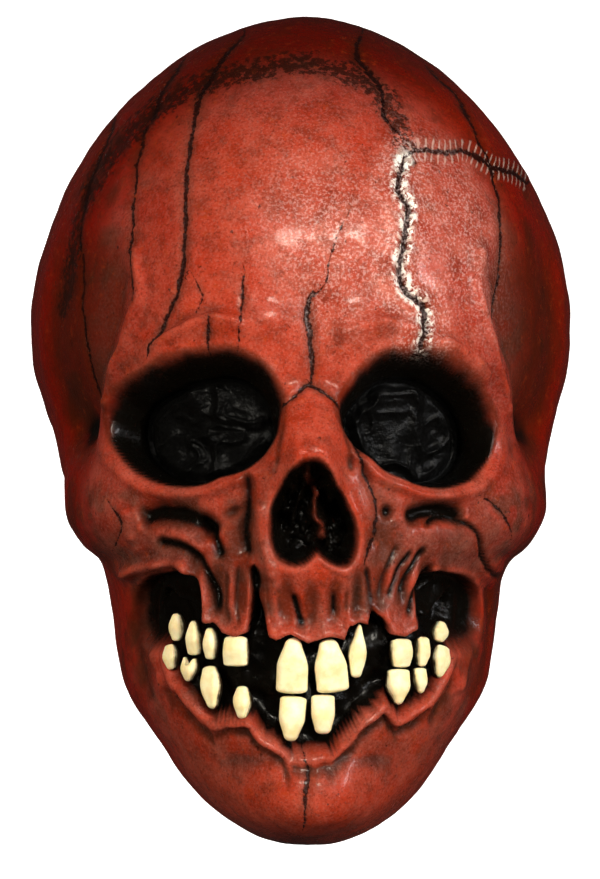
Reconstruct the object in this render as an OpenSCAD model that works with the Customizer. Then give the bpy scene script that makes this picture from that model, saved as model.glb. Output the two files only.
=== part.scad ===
// Full-face skull mask of thin moulded latex, open at the back and underneath,
// held on the wearer's head by one elastic strap with a slide adjuster.
//
// Frame: the face looks along -Y, +X is the mask's own left side, +Z is up.
// The origin is inside the mask, at the middle of the wearer's head.
// The shape is drawn in sculpt coordinates, with Z = 0 under the chin and
// Y = 0 at the front of the brow. The last lines move HEAD to the origin.

/* [Shell] */
// Height of the mask from the chin to the crown
mask_h = 290; // [282:1:298]
// Full width of the mask at the sides of the cranium
mask_w = 190; // [184:1:198]
// Thickness of the latex
wall = 3; // [2.5:0.1:3.5]
// Lean of the flat trimmed edge, back from upright
trim_tilt = 28; // [26:1:30]

/* [Face] */
// Distance of each eye socket's middle from the midline
socket_x = 38; // [36:0.5:39]
// Half the width of an eye socket
socket_rx = 26; // [24:0.5:27]
// Half the height of an eye socket
socket_rz = 22; // [20:0.5:23]
// Depth of the latex rim that turns into a socket
socket_rim = 12; // [10:0.5:14]
// Depth of the black gauze cup behind that rim
cup_depth = 11; // [8:0.5:12]

/* [Strap] */
// Width of the elastic strap
strap_w = 25; // [20:1:28]
// Thickness of the elastic strap
strap_t = 1.6; // [1.2:0.1:2]
// Radius of the stud that each strap end turns on
stud_r = 2.5; // [2:0.1:3]

/* [Hidden] */
$fn = 48;
// Where the origin lies in sculpt coordinates: inside, at the middle of the wearer's head
HEAD = [0, 105, 150];
TEETH = [
    // name, x, z, width seen from the front, height, root's share of the width, edge's share, lean
    ["upper_right_incisor", -6.3, 62.1, 11.2, 19.6, 0.5, 1, 2],
    ["upper_right_premolar_1", -25.8, 67.2, 9.5, 10.9, 0.9, 0.95, 0],
    ["upper_right_premolar_2", -34.4, 69.8, 5.6, 11.2, 0.6, 0.75, 0],
    ["upper_right_molar_1", -40, 71.7, 6, 12.3, 0.4, 0.85, 0],
    ["upper_right_molar_2", -45.9, 75.4, 5.6, 9.8, 0.5, 0.6, 0],
    ["upper_left_incisor", 6.9, 62.1, 11.6, 18.9, 0.55, 1, -6],
    ["upper_left_canine", 16.2, 67.3, 6.7, 18.9, 0.25, 0.6, 4],
    ["upper_left_premolar", 31.5, 66.5, 8.4, 10.2, 0.95, 0.8, 0],
    ["upper_left_molar_1", 38.9, 67, 6, 10.5, 0.85, 0.6, 4],
    ["upper_left_molar_2", 45.2, 73.9, 6.5, 7.4, 0.5, 0.6, 14],
    ["lower_right_incisor", -6.4, 43.7, 9.5, 16, 0.5, 1, 4],
    ["lower_right_canine", -23.5, 49.3, 7, 11.6, 0.5, 0.6, 0],
    ["lower_right_premolar", -34.2, 54.5, 7.7, 15.1, 0.45, 0.7, -6],
    ["lower_right_molar_1", -41.6, 60.8, 6.3, 8.8, 0.4, 0.9, 6],
    ["lower_right_molar_2", -47.9, 64.9, 5.6, 9.1, 0.5, 0.7, -10],
    ["lower_left_incisor", 4.3, 45.2, 8.4, 14, 0.65, 1, 0],
    ["lower_left_premolar", 30.6, 54.7, 8.8, 12.6, 0.3, 1, 0],
    ["lower_left_molar_1", 38, 56.8, 5.6, 9.1, 0.5, 1, 0],
    ["lower_left_molar_2", 45.5, 63.4, 7, 11.5, 0.4, 0.8, 14]
];
SIDES = [["right", -1], ["left", 1]];

// ---- The form of the skull ------------------------------------------------

// Cross-sections at rising heights: z, half width, y of the front on the midline,
// y of the widest place, reach behind it, and how square the front is
SECTIONS = [
    [0, 23, -2, 60, 50, 2.1], [12, 34.5, -5, 61, 50, 2.2], [25, 44.5, -5, 62, 50, 2.2],
    [33, 49.5, -3, 66, 50, 2.3], [42, 55.6, -4, 70, 50, 2.3], [53, 62.5, -5, 76, 50, 2.3],
    [65, 65.6, -6, 83, 50, 2.3], [80, 67.5, -5, 92, 50, 2.3], [92, 69.5, -4, 94, 50, 2.3],
    [99, 72, -3, 84, 55, 2.2], [104, 77.5, -2, 80, 60, 2.2], [112, 83.2, -2, 80, 70, 2.2],
    [122, 85.3, -1, 86, 78, 2.2], [136, 86, 0, 102, 90, 2.2], [150, 89.5, 0, 120, 95, 2.3],
    [163, 93.4, -1, 132, 95, 2.4], [176, 95, 0, 138, 95, 2.6], [240, 95, 0, 140, 95, 2.4],
    [300, 95, 0, 140, 95, 2.2]
];
LAST = len(SECTIONS) - 1;
WIDEN = mask_w / 190; // the widths above belong to a mask 190 wide
DOME_Z = 184;         // where the cranium starts to close
CHIN_Z = 26;          // where the chin starts to close
CROWN_Y = 88;         // the cranium closes over this place
THROAT_Y = 44;        // the chin closes under this place
// The point that every ray to the surface starts from. It lies on the trimmed edge's plane.
CORE = [0, 110, 124];

function segment(z, i = 0) = i >= LAST - 1 || z < SECTIONS[i + 1][0] ? i : segment(z, i + 1);

// A smooth row between the rows of SECTIONS, by a cubic with averaged slopes
function slope(i) = let(a = max(i - 1, 0), b = min(i + 1, LAST))
    (SECTIONS[b] - SECTIONS[a]) / (SECTIONS[b][0] - SECTIONS[a][0]);
function section(z) = let(
    i = segment(z), a = SECTIONS[i], b = SECTIONS[i + 1], h = b[0] - a[0],
    t = min(max((z - a[0]) / h, 0), 1), t2 = t * t, t3 = t2 * t)
    a * (2 * t3 - 3 * t2 + 1) + b * (3 * t2 - 2 * t3)
    + h * (slope(i) * (t3 - 2 * t2 + t) + slope(i + 1) * (t3 - t2));

// 1 along the body of the skull, falling to 0 at the crown and under the chin
function closing(z) =
    z > DOME_Z ? let(t = min((z - DOME_Z) / (mask_h - DOME_Z), 1)) pow(1 - pow(t, 1.8), 1 / 1.8)
    : z < CHIN_Z ? let(t = min((CHIN_Z - z) / CHIN_Z, 1)) pow(1 - pow(t, 3), 1 / 3)
    : 1;

// The closed section at z: half width, y of the front, y of the widest place, reach behind, squareness
function cut(z) = let(s = section(z), k = max(closing(z), 0.001), middle = z > DOME_Z ? CROWN_Y : THROAT_Y)
    [s[1] * k * WIDEN, middle + (s[2] - middle) * k, middle + (s[3] - middle) * k, s[4] * k, s[5]];

// Below 0 inside the form, above 0 outside it
function outside(p) =
    p[2] >= mask_h || p[2] <= 0 ? 1
    : let(c = cut(p[2]), across = min(abs(p[0]) / c[0], 3))
    p[1] < c[2]
        ? pow(across, c[4]) + pow(min((c[2] - p[1]) / (c[2] - c[1]), 3), c[4]) - 1
        : pow(across, 2) + pow(min((p[1] - c[2]) / c[3], 3), 2) - 1;

// How far the surface is from CORE along direction d, by halving
function reach(d, near = 40, far = 230, n = 14) = let(m = (near + far) / 2)
    n == 0 ? m : outside(CORE + m * d) > 0 ? reach(d, near, m, n - 1) : reach(d, m, far, n - 1);

// y of the front of the form at x, z
function face_y(x, z) = let(c = cut(z))
    c[2] - (c[2] - c[1]) * pow(1 - pow(abs(x) / c[0], c[4]), 1 / c[4]);

// x of the side of the form at y, z
function side_x(y, z) = let(c = cut(z))
    c[0] * (y < c[2] ? pow(1 - pow((c[2] - y) / (c[2] - c[1]), c[4]), 1 / c[4])
        : sqrt(1 - pow((y - c[2]) / c[3], 2)));

// Turn of the face about Z at x, z, in degrees
function face_turn(x, z) = atan((face_y(x + 1, z) - face_y(x - 1, z)) / 2);

// ---- Relief ---------------------------------------------------------------

function smooth(a, b, v) = let(t = min(max((v - a) / (b - a), 0), 1)) t * t * (3 - 2 * t);
function bump(v) = exp(-v * v);

GLUE = 0.8;           // room between the latex and what is glued to it
SOCKET_Z = 146.5;
SOCKET_TILT = 8;      // each socket rises towards the nose
// 1 on the outline of a socket, less inside it. grow widens the outline.
function socket_at(x, z, grow = 0) = let(
    u = abs(x) - socket_x, v = z - SOCKET_Z,
    a = (u * cos(SOCKET_TILT) - v * sin(SOCKET_TILT)) / (socket_rx + grow),
    b = (u * sin(SOCKET_TILT) + v * cos(SOCKET_TILT)) / (socket_rz + grow))
    pow(pow(abs(a), 2.3) + pow(abs(b), 2.3), 1 / 2.3);

NOSE_TOP = 134;
NOSE_BOTTOM = 97;
NOSE_RX = 15;
// 1 on the outline of the pear-shaped nose opening, less inside it
function nose_at(x, z, grow = 0) = let(
    t = (NOSE_TOP + grow - z) / (NOSE_TOP - NOSE_BOTTOM + 2 * grow), c = min(max(t, 0.02), 1),
    half = NOSE_RX * pow(sin(180 * pow(c, 1.35)), 0.6) + grow)
    max(abs(x) / max(half, 0.5), abs(2 * t - 1));

// Gum lines
function gum_upper(x) = 71 + 9 * pow(abs(x) / 47, 2.2);
function gum_lower(x) = 34 + 26 * pow(abs(x) / 48, 1.4);
MOUTH_X = 52;
MOUTH_DEPTH = 7;

// Depth that the surface is pressed in at the base point p. Raised places are below 0.
function relief(p, grow = 0) = let(x = p[0], z = p[2], ax = abs(x), front = 1 - smooth(34, 52, p[1]))
    front * socket_rim * (1 - smooth(0.8, 1.08, socket_at(x, z, grow)))
    + front * 14 * (1 - smooth(0.65, 1.15, nose_at(x, z, grow)))
    - front * 9 * bump(x / 17) * smooth(168, 134, z) * smooth(84, 106, z)
    + front * MOUTH_DEPTH * smooth(-2, 2, gum_upper(x) + grow - z) * smooth(-2, 2, z + grow - gum_lower(x))
        * (1 - smooth(MOUTH_X - 3, MOUTH_X + 4, ax))
    + 12 * bump((ax - 53) / 8) * bump((z - 84) / 11) * (1 - smooth(60, 75, p[1]))
    + 8 * bump((p[1] - 60) / 24) * bump((z - 152) / 22) * smooth(55, 70, ax)
    - 3 * bump((z - 173) / 7) * smooth(4, 16, ax) * (1 - smooth(58, 75, ax)) * front;

// ---- Rays and grids -------------------------------------------------------

function ray(turn, away) = [sin(away) * cos(turn), -cos(away), sin(away) * sin(turn)];
// Angle from the nose at which the ray with this turn lies in the trimmed edge's plane
function rim_away(turn) = atan2(cos(trim_tilt), -sin(trim_tilt) * sin(turn));

// A point on the outer face, or depth below it
function skin(turn, away, depth = 0, grow = 0) = let(
    d = ray(turn, away), r = reach(d), base = CORE + r * d)
    CORE + (r - relief(base, grow) - depth) * d;

// The point below the place x, z of the front, measured from the pressed-in surface
function under(x, z, depth) = let(
    base = [x, face_y(x, z), z], v = base - CORE)
    base - (relief(base, wall) + depth) * v / norm(v);

FACE_RINGS = 19;      // close rings over the face
FACE_AWAY = 50;       // out to this angle
RINGS = 29;
SPOKES = 72;
function away_at(turn, i) = i <= FACE_RINGS ? FACE_AWAY * i / FACE_RINGS
    : FACE_AWAY + (rim_away(turn) - FACE_AWAY) * (i - FACE_RINGS) / (RINGS - FACE_RINGS);

// A closed solid whose skin runs from the place first, through rings of equally many
// places, to the place last. Seen from outside it at first, each ring runs clockwise.
module stack(first, rings, last) {
    count = len(rings[0]);
    ends = count * len(rings);
    function at(i, j) = i * count + j % count;
    // Quads are split away from the midline on both sides
    function leans(j) = j >= count / 4 && j < count * 3 / 4;
    polyhedron(concat([for (r = rings) each r], [first, last]), concat(
        [for (j = [0:count - 1]) [ends, at(0, j + 1), at(0, j)]],
        [for (i = [0:len(rings) - 2], j = [0:count - 1])
            let(a = at(i, j), b = at(i, j + 1), c = at(i + 1, j + 1), d = at(i + 1, j))
            each (leans(j) ? [[a, b, c], [a, c, d]] : [[a, b, d], [b, c, d]])],
        [for (j = [0:count - 1]) [ends + 1, at(len(rings) - 1, j), at(len(rings) - 1, j + 1)]]
    ), convexity = 8);
}

// Angles of count places round a ring. way is 1 or -1.
function round_ring(count, way) = [for (j = [0:count - 1]) way * j * 360 / count];

// A squarish round outline: how far it reaches at angle a for half sizes 1 by 1
function squarish(a) = 1 / pow(pow(abs(cos(a)), 2.3) + pow(abs(sin(a)), 2.3), 1 / 2.3);

// A place on a socket's outline, shrunk or grown by a share
function socket_place(a, share, side) = let(
    u = socket_rx * share * squarish(a) * cos(a), v = socket_rz * share * squarish(a) * sin(a))
    [side * (socket_x + u * cos(SOCKET_TILT) + v * sin(SOCKET_TILT)),
        SOCKET_Z - u * sin(SOCKET_TILT) + v * cos(SOCKET_TILT)];

// ---- Latex ----------------------------------------------------------------

OPEN_SHARE = 0.76;    // how much of each socket is cut right through

// A ring of places around a socket, depth below the inside of the latex
function socket_ring(side, share, depth) = [for (a = round_ring(30, side))
    let(q = socket_place(a, share, side)) under(q[0], q[1], wall + depth)];
function socket_middle(side, depth) = under(side * socket_x, SOCKET_Z, wall + depth);

module latex_shell() {
    turns = round_ring(SPOKES, 1);
    color([0.55, 0.1, 0.06]) render() difference() {
        stack(skin(0, 0), concat(
            [for (i = [1:RINGS]) [for (t = turns) skin(t, away_at(t, i))]],
            [for (i = [RINGS:-1:1]) [for (t = turns) skin(t, away_at(t, i), wall, wall)]]
        ), skin(0, 0, wall, wall));
        for (side = [-1, 1])
            stack(socket_middle(side, -30),
                [socket_ring(side, OPEN_SHARE, -30), socket_ring(side, OPEN_SHARE, 30)],
                socket_middle(side, 30));
    }
}

CUP_T = 0.8;          // thickness of the gauze
// Share of the socket's size and depth behind the latex of each ring of a cup
CUP = [[0.2, cup_depth], [0.44, cup_depth - 2], [0.6, 4], [0.68, GLUE], [0.86, GLUE], [0.98, GLUE]];

// A black gauze cup closing a socket from behind, with a flange glued to the latex
module eye_cup(side) {
    color([0.04, 0.04, 0.04])
        stack(socket_middle(side, cup_depth), concat(
            [for (c = CUP) socket_ring(side, c[0], c[1])],
            [for (i = [len(CUP) - 1:-1:0]) socket_ring(side, CUP[i][0], CUP[i][1] + CUP_T)]
        ), socket_middle(side, cup_depth + CUP_T));
}

TOOTH_PROUD = 0.9;    // how far the teeth stand in front of the gums' curve
TOOTH_SET = 1.4;      // how far their backs are set into the floor of the mouth

// One tooth: a rounded crown whose back is set into the floor of the mouth
module tooth(t) {
    x = t[1];
    z = t[2];
    turn = face_turn(x, z);
    w = t[3] / cos(turn);
    h = t[4];
    d = TOOTH_PROUD + MOUTH_DEPTH + TOOTH_SET;
    up = t[0][0] == "u" ? 1 : -1;
    // height share, width share, depth share of each cross-section
    rows = [[-0.5, t[6] * 0.8, 0.5], [-0.36, t[6], 0.85], [0, 1, 1],
        [0.3, t[5] * 0.5 + 0.5, 0.9], [0.5, t[5], 0.6]];
    color([0.93, 0.86, 0.64])
        translate([x, face_y(x, z) + (MOUTH_DEPTH + TOOTH_SET - TOOTH_PROUD) / 2, z])
            rotate([0, 0, turn])
                rotate([0, t[7], 0])
                    hull() for (r = rows)
                        translate([0, 0, up * r[0] * (h - 0.4)])
                            linear_extrude(0.4, center = true)
                                polygon([for (a = [0:30:330])
                                    [r[1] * w / 2 * cos(a), r[2] * d / 2 * sin(a)]]);
}

// ---- Foam pads ------------------------------------------------------------

// A foam pad glued inside the shell. Its middle is at the ray turn and angle of middle, and it
// reaches half of them to each side. It is thick in the middle and thinner at its edge.
module pad(middle, half, thick) {
    shares = [0.3, 0.6, 0.82, 0.95, 1];
    function ring_at(share, depth) = [for (a = round_ring(28, 1))
        skin(middle[0] + half[0] * share * squarish(a) * cos(a),
            middle[1] - half[1] * share * squarish(a) * sin(a), wall + depth, wall)];
    color([0.2, 0.2, 0.22])
        stack(skin(middle[0], middle[1], wall + GLUE, wall), concat(
            [for (s = shares) ring_at(s, GLUE)],
            [for (i = [len(shares) - 1:-1:0]) let(s = shares[i])
                ring_at(s, GLUE + thick * sqrt(1 - 0.85 * pow(s, 4)))]
        ), skin(middle[0], middle[1], wall + GLUE + thick, wall));
}

// ---- Strap ----------------------------------------------------------------

STRAP_Z = 165;        // height of the studs and the strap
STUD_Y = 100;         // the studs' place, front to back
FLAT_X = mask_w / 2 - 12;  // outer face of the strap where it lies along the shell
BEND_Y = 126;         // where the strap starts to turn across the back
BACK_R = 120;         // radius of the strap's stretch across the back
BACK_A = 18;          // half the angle of that stretch
// Radius of each corner, so that the three arcs run into each other
CORNER_R = (FLAT_X - BACK_R * sin(BACK_A)) / (1 - sin(BACK_A));
BACK_Y = BEND_Y + CORNER_R * cos(BACK_A) - BACK_R * cos(BACK_A);
EYELET_R = stud_r + 0.05;
BARREL_R = EYELET_R + 1;

// The strap's line from straight ahead of the left bend round to the same place on the right,
// inset by some depth. straight adds the two ends that lie along the shell.
function strap_line(inset, straight, both = true) = let(
    corner = [for (a = [0:6:90 - BACK_A])
        [FLAT_X - CORNER_R, BEND_Y] + (CORNER_R - inset) * [cos(a), sin(a)]],
    back = [for (a = [90 - BACK_A:3:90 + BACK_A]) [0, BACK_Y] + (BACK_R - inset) * [cos(a), sin(a)]],
    start = straight ? [[FLAT_X - inset, STUD_Y]] : [])
    concat(start, corner, [for (i = [1:len(back) - 1]) back[i]],
        both ? [for (i = [len(corner) - 2:-1:0]) [-corner[i][0], corner[i][1]]] : [],
        both ? [for (q = start) [-q[0], q[1]]] : []);

// A ply of the strap, of width w, from one inset of its line to another
module ply(inset, t, w, straight, both) {
    outer = strap_line(inset, straight, both);
    inner = strap_line(inset + t, straight, both);
    translate([0, 0, STRAP_Z - w / 2]) linear_extrude(w)
        polygon(concat(outer, [for (i = [len(inner) - 1:-1:0]) inner[i]]));
}

module on_side(side) {
    mirror([side < 0 ? 1 : 0, 0, 0]) children();
}

// Moves children, drawn along +Z, to the stud's axis on one side, starting at x
module on_axis(side, x) {
    on_side(side) translate([x, STUD_Y, STRAP_Z]) rotate([0, 90, 0]) children();
}

module elastic_strap() {
    color([0.05, 0.05, 0.06]) difference() {
        union() {
            ply(0, strap_t, strap_w, true, true);
            for (side = [-1, 1]) on_axis(side, FLAT_X - strap_t) cylinder(r = strap_w / 2, h = strap_t);
        }
        for (side = [-1, 1]) on_axis(side, FLAT_X - strap_t - 1) cylinder(r = BARREL_R, h = strap_t + 2);
    }
}

// The tail of the strap, folded back against its inside and ending near the left stud
module strap_tail() {
    color([0.05, 0.05, 0.06]) ply(strap_t, strap_t, strap_w - 1, false, false);
}

ADJ_A = 7;            // half the angle that the adjuster takes up
ADJ_BAR = 3;          // width of its frame's bars
ADJ_LIP = 1.6;        // thickness outside and inside the strap
ADJ_CLEAR = 0.35;     // room between the adjuster and the two plies

// A curved frame round both plies, with two windows that show them
module slide_adjuster() {
    plies = 2 * strap_t;
    deep = plies + 2 * (ADJ_LIP + ADJ_CLEAR);
    // A band about the back's middle, of width w, between two angles
    module band(inset, t, from, to, w) {
        translate([0, BACK_Y, STRAP_Z]) rotate([0, 0, 90 - to])
            rotate_extrude(angle = to - from, $fn = 96)
                translate([BACK_R - inset - t, -w / 2]) square([t, w]);
    }
    color([0.08, 0.08, 0.08]) difference() {
        band(-ADJ_LIP - ADJ_CLEAR, deep, -ADJ_A, ADJ_A, strap_w + 2 * ADJ_BAR + 1);
        band(-ADJ_CLEAR, plies + 2 * ADJ_CLEAR, -ADJ_A - 2, ADJ_A + 2, strap_w + 1);
        for (side = [-1, 1])
            on_side(side) band(-ADJ_LIP - ADJ_CLEAR - 1, deep + 2, 1.4, ADJ_A - 1.6, strap_w - 2);
    }
}

CAP_R = 6.5;
CAP_T = 1.6;
FLANGE_R = 5;
FLANGE_T = 0.3;       // an eyelet's flange on each face of the strap
PLAY = 0.3;           // room on each side of the eyelet
PATCH_R = 15;
PATCH_X = FLAT_X + FLANGE_T + PLAY;
CAP_X = FLAT_X - strap_t - FLANGE_T - PLAY - CAP_T;
STUD_SET = 1.2;       // how far the stud is set into the patch
CAP_SET = 1;          // and into its cap

// A rubber disc glued to the inside of the shell. Its inner face is flat and carries the
// stud, and its outer face follows the shell.
module anchor_patch(side) {
    radii = [5, 10, PATCH_R];
    function wall_x(y, z) = let(x = side_x(y, z)) x - relief([x, y, z], wall) - wall * 1.08 - GLUE / 2;
    function ring_at(r, flat) = [for (a = round_ring(24, side))
        let(y = STUD_Y + r * cos(a), z = STRAP_Z + r * sin(a))
            [side * (flat ? PATCH_X : wall_x(y, z)), y, z]];
    color([0.12, 0.12, 0.12])
        stack([side * PATCH_X, STUD_Y, STRAP_Z],
            concat([for (r = radii) ring_at(r, true)], [for (i = [2:-1:0]) ring_at(radii[i], false)]),
            [side * wall_x(STUD_Y, STRAP_Z), STUD_Y, STRAP_Z]);
}

module strap_stud(side) {
    start = CAP_X + CAP_T - CAP_SET;
    color([0.7, 0.68, 0.62]) on_axis(side, start) cylinder(r = stud_r, h = PATCH_X + STUD_SET - start);
}

// The domed head that holds the strap on its stud
module stud_cap(side) {
    color([0.75, 0.72, 0.66]) on_axis(side, CAP_X) difference() {
        cylinder(r1 = CAP_R - 1, r2 = CAP_R, h = CAP_T);
        translate([0, 0, CAP_T - CAP_SET]) cylinder(r = stud_r, h = CAP_T);
    }
}

// A metal ring through the strap, with a flange on each face
module strap_eyelet(side) {
    high = strap_t + 2 * FLANGE_T;
    color([0.7, 0.68, 0.62]) on_axis(side, FLAT_X - strap_t - FLANGE_T) difference() {
        union() {
            cylinder(r = BARREL_R, h = high);
            cylinder(r = FLANGE_R, h = FLANGE_T);
            translate([0, 0, high - FLANGE_T]) cylinder(r = FLANGE_R, h = FLANGE_T);
        }
        translate([0, 0, -1]) cylinder(r = EYELET_R, h = high + 2);
    }
}

// ---- Nodes ----------------------------------------------------------------

// Ray turn and angle of each pad's middle, how far it reaches from there, and its thickness
BROW = [[90, 46], [24, 8], 11];
CROWN = [[90, 93], [22, 10], 13];
TEMPLE = [[28, 60], [11, 9], 8];

translate(-HEAD) {
    latex_shell();
    pad(BROW[0], BROW[1], BROW[2]);  // brow_pad
    pad(CROWN[0], CROWN[1], CROWN[2]);  // crown_pad
    elastic_strap();
    strap_tail();
    slide_adjuster();
    for (s = SIDES) {
        eye_cup(s[1]);
        pad([s[1] > 0 ? TEMPLE[0][0] : 180 - TEMPLE[0][0], TEMPLE[0][1]], TEMPLE[1], TEMPLE[2]);
        anchor_patch(s[1]);
        strap_stud(s[1]);
        stud_cap(s[1]);
        strap_eyelet(s[1]);
    }
    for (t = TEETH)
        tooth(t);
}
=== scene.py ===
# %% [markdown]
# # A latex skull mask, built as surfaces
# The mask is one moulded latex skin with teeth set in it, two black gauze cups behind the eye
# sockets, foam pads inside, and an elastic strap behind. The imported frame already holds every
# piece's place. Each step below replaces a plain solid by a finished surface in the same place.

# %% Load the frame
import itertools
import math

import bpy
import numpy as np
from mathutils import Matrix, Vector


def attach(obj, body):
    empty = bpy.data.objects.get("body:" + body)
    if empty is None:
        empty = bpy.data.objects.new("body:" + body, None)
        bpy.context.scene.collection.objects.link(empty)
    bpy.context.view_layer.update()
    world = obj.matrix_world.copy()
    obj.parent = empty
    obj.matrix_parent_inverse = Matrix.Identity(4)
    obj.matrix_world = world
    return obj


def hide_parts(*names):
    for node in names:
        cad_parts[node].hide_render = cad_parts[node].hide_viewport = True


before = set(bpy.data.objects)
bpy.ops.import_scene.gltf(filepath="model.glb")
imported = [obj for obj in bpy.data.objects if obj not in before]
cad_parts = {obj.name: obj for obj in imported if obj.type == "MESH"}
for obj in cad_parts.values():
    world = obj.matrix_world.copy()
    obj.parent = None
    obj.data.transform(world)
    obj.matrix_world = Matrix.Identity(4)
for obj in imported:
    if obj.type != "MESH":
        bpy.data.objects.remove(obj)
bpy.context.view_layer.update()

MM = 0.001
HEAD = np.array([0, 105, 150])   # the origin, in the sculptor's millimetres: chin at z 0, brow at y 0

# %% [markdown]
# ## Camera, light and floor
# The mask is looked at straight in front from far away, so that the face keeps its proportions.
# The camera stands a little to the left, which brings the nose a little to the right. A big soft
# light above the camera makes the broad sheen on the forehead, and a tall narrow one on the right
# makes the bright stripe beside the stitched wound. A pale painted sheen in the latex's colour
# adds to both.

# %% Camera
DISTANCE = 8.0          # from the widest part of the skull
FIELD = 0.3108          # height that the picture shows there
YAW = math.radians(1.5)
AIM = np.array([0.0, 0.033, -0.0088])

camera = bpy.data.objects.new("camera", bpy.data.cameras.new("camera"))
bpy.context.collection.objects.link(camera)
camera.location = AIM + DISTANCE * np.array([-math.sin(YAW), -math.cos(YAW), 0])
camera.rotation_euler = (math.pi / 2, 0, -YAW)
camera.data.lens = camera.data.sensor_width * DISTANCE / FIELD
camera.data.clip_end = 20
bpy.context.scene.camera = camera
print("lens:", round(camera.data.lens), "mm")


# %% Soft lights
def light(name, place, size, power, colour=(1, 1, 1)):
    """A rectangular soft light at place, facing the mask. size is its width and height."""
    data = bpy.data.lights.new(name, "AREA")
    data.shape = "RECTANGLE"
    data.size, data.size_y = size
    data.energy = power
    data.color = colour
    lamp = bpy.data.objects.new(name, data)
    bpy.context.collection.objects.link(lamp)
    lamp.location = place
    lamp.rotation_euler = Vector(np.array(AIM) - place).to_track_quat("-Z", "Y").to_euler()
    return lamp


light("key", (0.22, -1.5, 0.85), (0.34, 0.26), 14, (1.0, 0.95, 0.84))
light("side_strip", (1.1, -1.0, 0.55), (0.16, 0.6), 9, (0.95, 0.96, 1.0))
fills = [light("right_fill", (1.3, -1.2, -0.35), (0.5, 0.5), 60, (1.0, 0.88, 0.70)),
         light("left_fill", (-1.3, -1.2, 0.1), (0.5, 0.5), 22, (1.0, 0.88, 0.70)),
         light("front_fill", (0.0, -2.2, -0.3), (0.4, 0.4), 4, (1.0, 0.88, 0.70)),
         light("back_fill", (-0.9, 1.8, 0.6), (0.9, 0.9), 30)]
for lamp in fills:
    lamp.visible_glossy = False   # they only lift the shadows

world = bpy.data.worlds.new("studio")
bpy.context.scene.world = world
world.use_nodes = True
nodes, wire = world.node_tree.nodes, world.node_tree.links
path = nodes.new("ShaderNodeLightPath")
choose = nodes.new("ShaderNodeMapRange")   # dim as a light, pale where the camera sees it
choose.inputs["To Min"].default_value, choose.inputs["To Max"].default_value = 0.03, 0.9
wire.new(path.outputs["Is Camera Ray"], choose.inputs["Value"])
wire.new(choose.outputs["Result"], nodes["Background"].inputs["Strength"])
nodes["Background"].inputs["Color"].default_value = (1, 1, 1, 1)
bpy.context.scene.view_settings.view_transform = "Standard"
bpy.context.scene.view_settings.gamma = 0.86   # deeper shadows, as in studio pictures


# %% [markdown]
# ## Surfaces on a grid
# Everything below is a grid of points worked out in one go. This helper turns such a grid into a
# mesh. A grid that goes all the way round is joined to itself, and its first and last rows can be
# closed with a fan to a single point.

# %% Grid to mesh
def quads(rows, cols, start=0, wrap=True):
    """Corners of every grid cell: (i, j), (i, j + 1), (i + 1, j + 1), (i + 1, j)."""
    i, j = np.meshgrid(np.arange(rows - 1), np.arange(cols if wrap else cols - 1), indexing="ij")
    k = (j + 1) % cols
    return start + np.stack([i * cols + j, i * cols + k, (i + 1) * cols + k, (i + 1) * cols + j],
                            -1).reshape(-1, 4)


def mesh_piece(name, points, quad_faces, tri_faces=(), facts=None):
    """A Blender mesh from points in metres, faces of four and of three corners, and named
    numbers at the points."""
    quad_faces = np.asarray(quad_faces, dtype=np.int32).reshape(-1, 4)
    tri_faces = np.asarray(tri_faces, dtype=np.int32).reshape(-1, 3)
    mesh = bpy.data.meshes.new(name)
    mesh.vertices.add(len(points))
    mesh.vertices.foreach_set("co", np.asarray(points, dtype=np.float32).ravel())
    corners = np.concatenate([quad_faces.ravel(), tri_faces.ravel()])
    sizes = np.concatenate([np.full(len(quad_faces), 4), np.full(len(tri_faces), 3)])
    mesh.loops.add(len(corners))
    mesh.loops.foreach_set("vertex_index", corners.astype(np.int32))
    mesh.polygons.add(len(sizes))
    mesh.polygons.foreach_set("loop_start", (np.cumsum(sizes) - sizes).astype(np.int32))
    mesh.update(calc_edges=True)
    mesh.validate()
    for key, values in (facts or {}).items():
        mesh.attributes.new(key, "FLOAT", "POINT").data.foreach_set("value", values.astype(np.float32))
    mesh.shade_smooth()
    piece = bpy.data.objects.new(name, mesh)
    bpy.context.collection.objects.link(piece)
    return piece


def closed_grid(name, grid, first=None, last=None, facts=None):
    """A piece from a grid (rows, around, 3) in metres that is closed round every row, with a
    point before its first row and one after its last, so that its skin has no hole."""
    rows, cols = grid.shape[:2]
    points = grid.reshape(-1, 3)
    first = grid[0].mean(0) if first is None else first
    last = grid[-1].mean(0) if last is None else last
    points = np.concatenate([points, [first, last]])
    j = np.arange(cols)
    k = (j + 1) % cols
    near = np.stack([np.full(cols, rows * cols), k, j], -1)
    far = np.stack([np.full(cols, rows * cols + 1), (rows - 1) * cols + j, (rows - 1) * cols + k], -1)
    if facts:
        facts = {key: np.concatenate([v.ravel(), [v[0].mean(), v[-1].mean()]]) for key, v in facts.items()}
    return mesh_piece(name, points, quads(rows, cols), np.concatenate([near, far]), facts)


# %% Smooth steps, bumps and random hills
def smooth(a, b, v):
    """0 below a, 1 above b, and 3t^2 - 2t^3 between them. It falls where b is below a."""
    t = np.clip((v - a) / (b - a), 0, 1)
    return t * t * (3 - 2 * t)


def bump(v):
    """exp(-v^2): 1 at 0 and almost nothing past 2."""
    return np.exp(-v * v)


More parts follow.
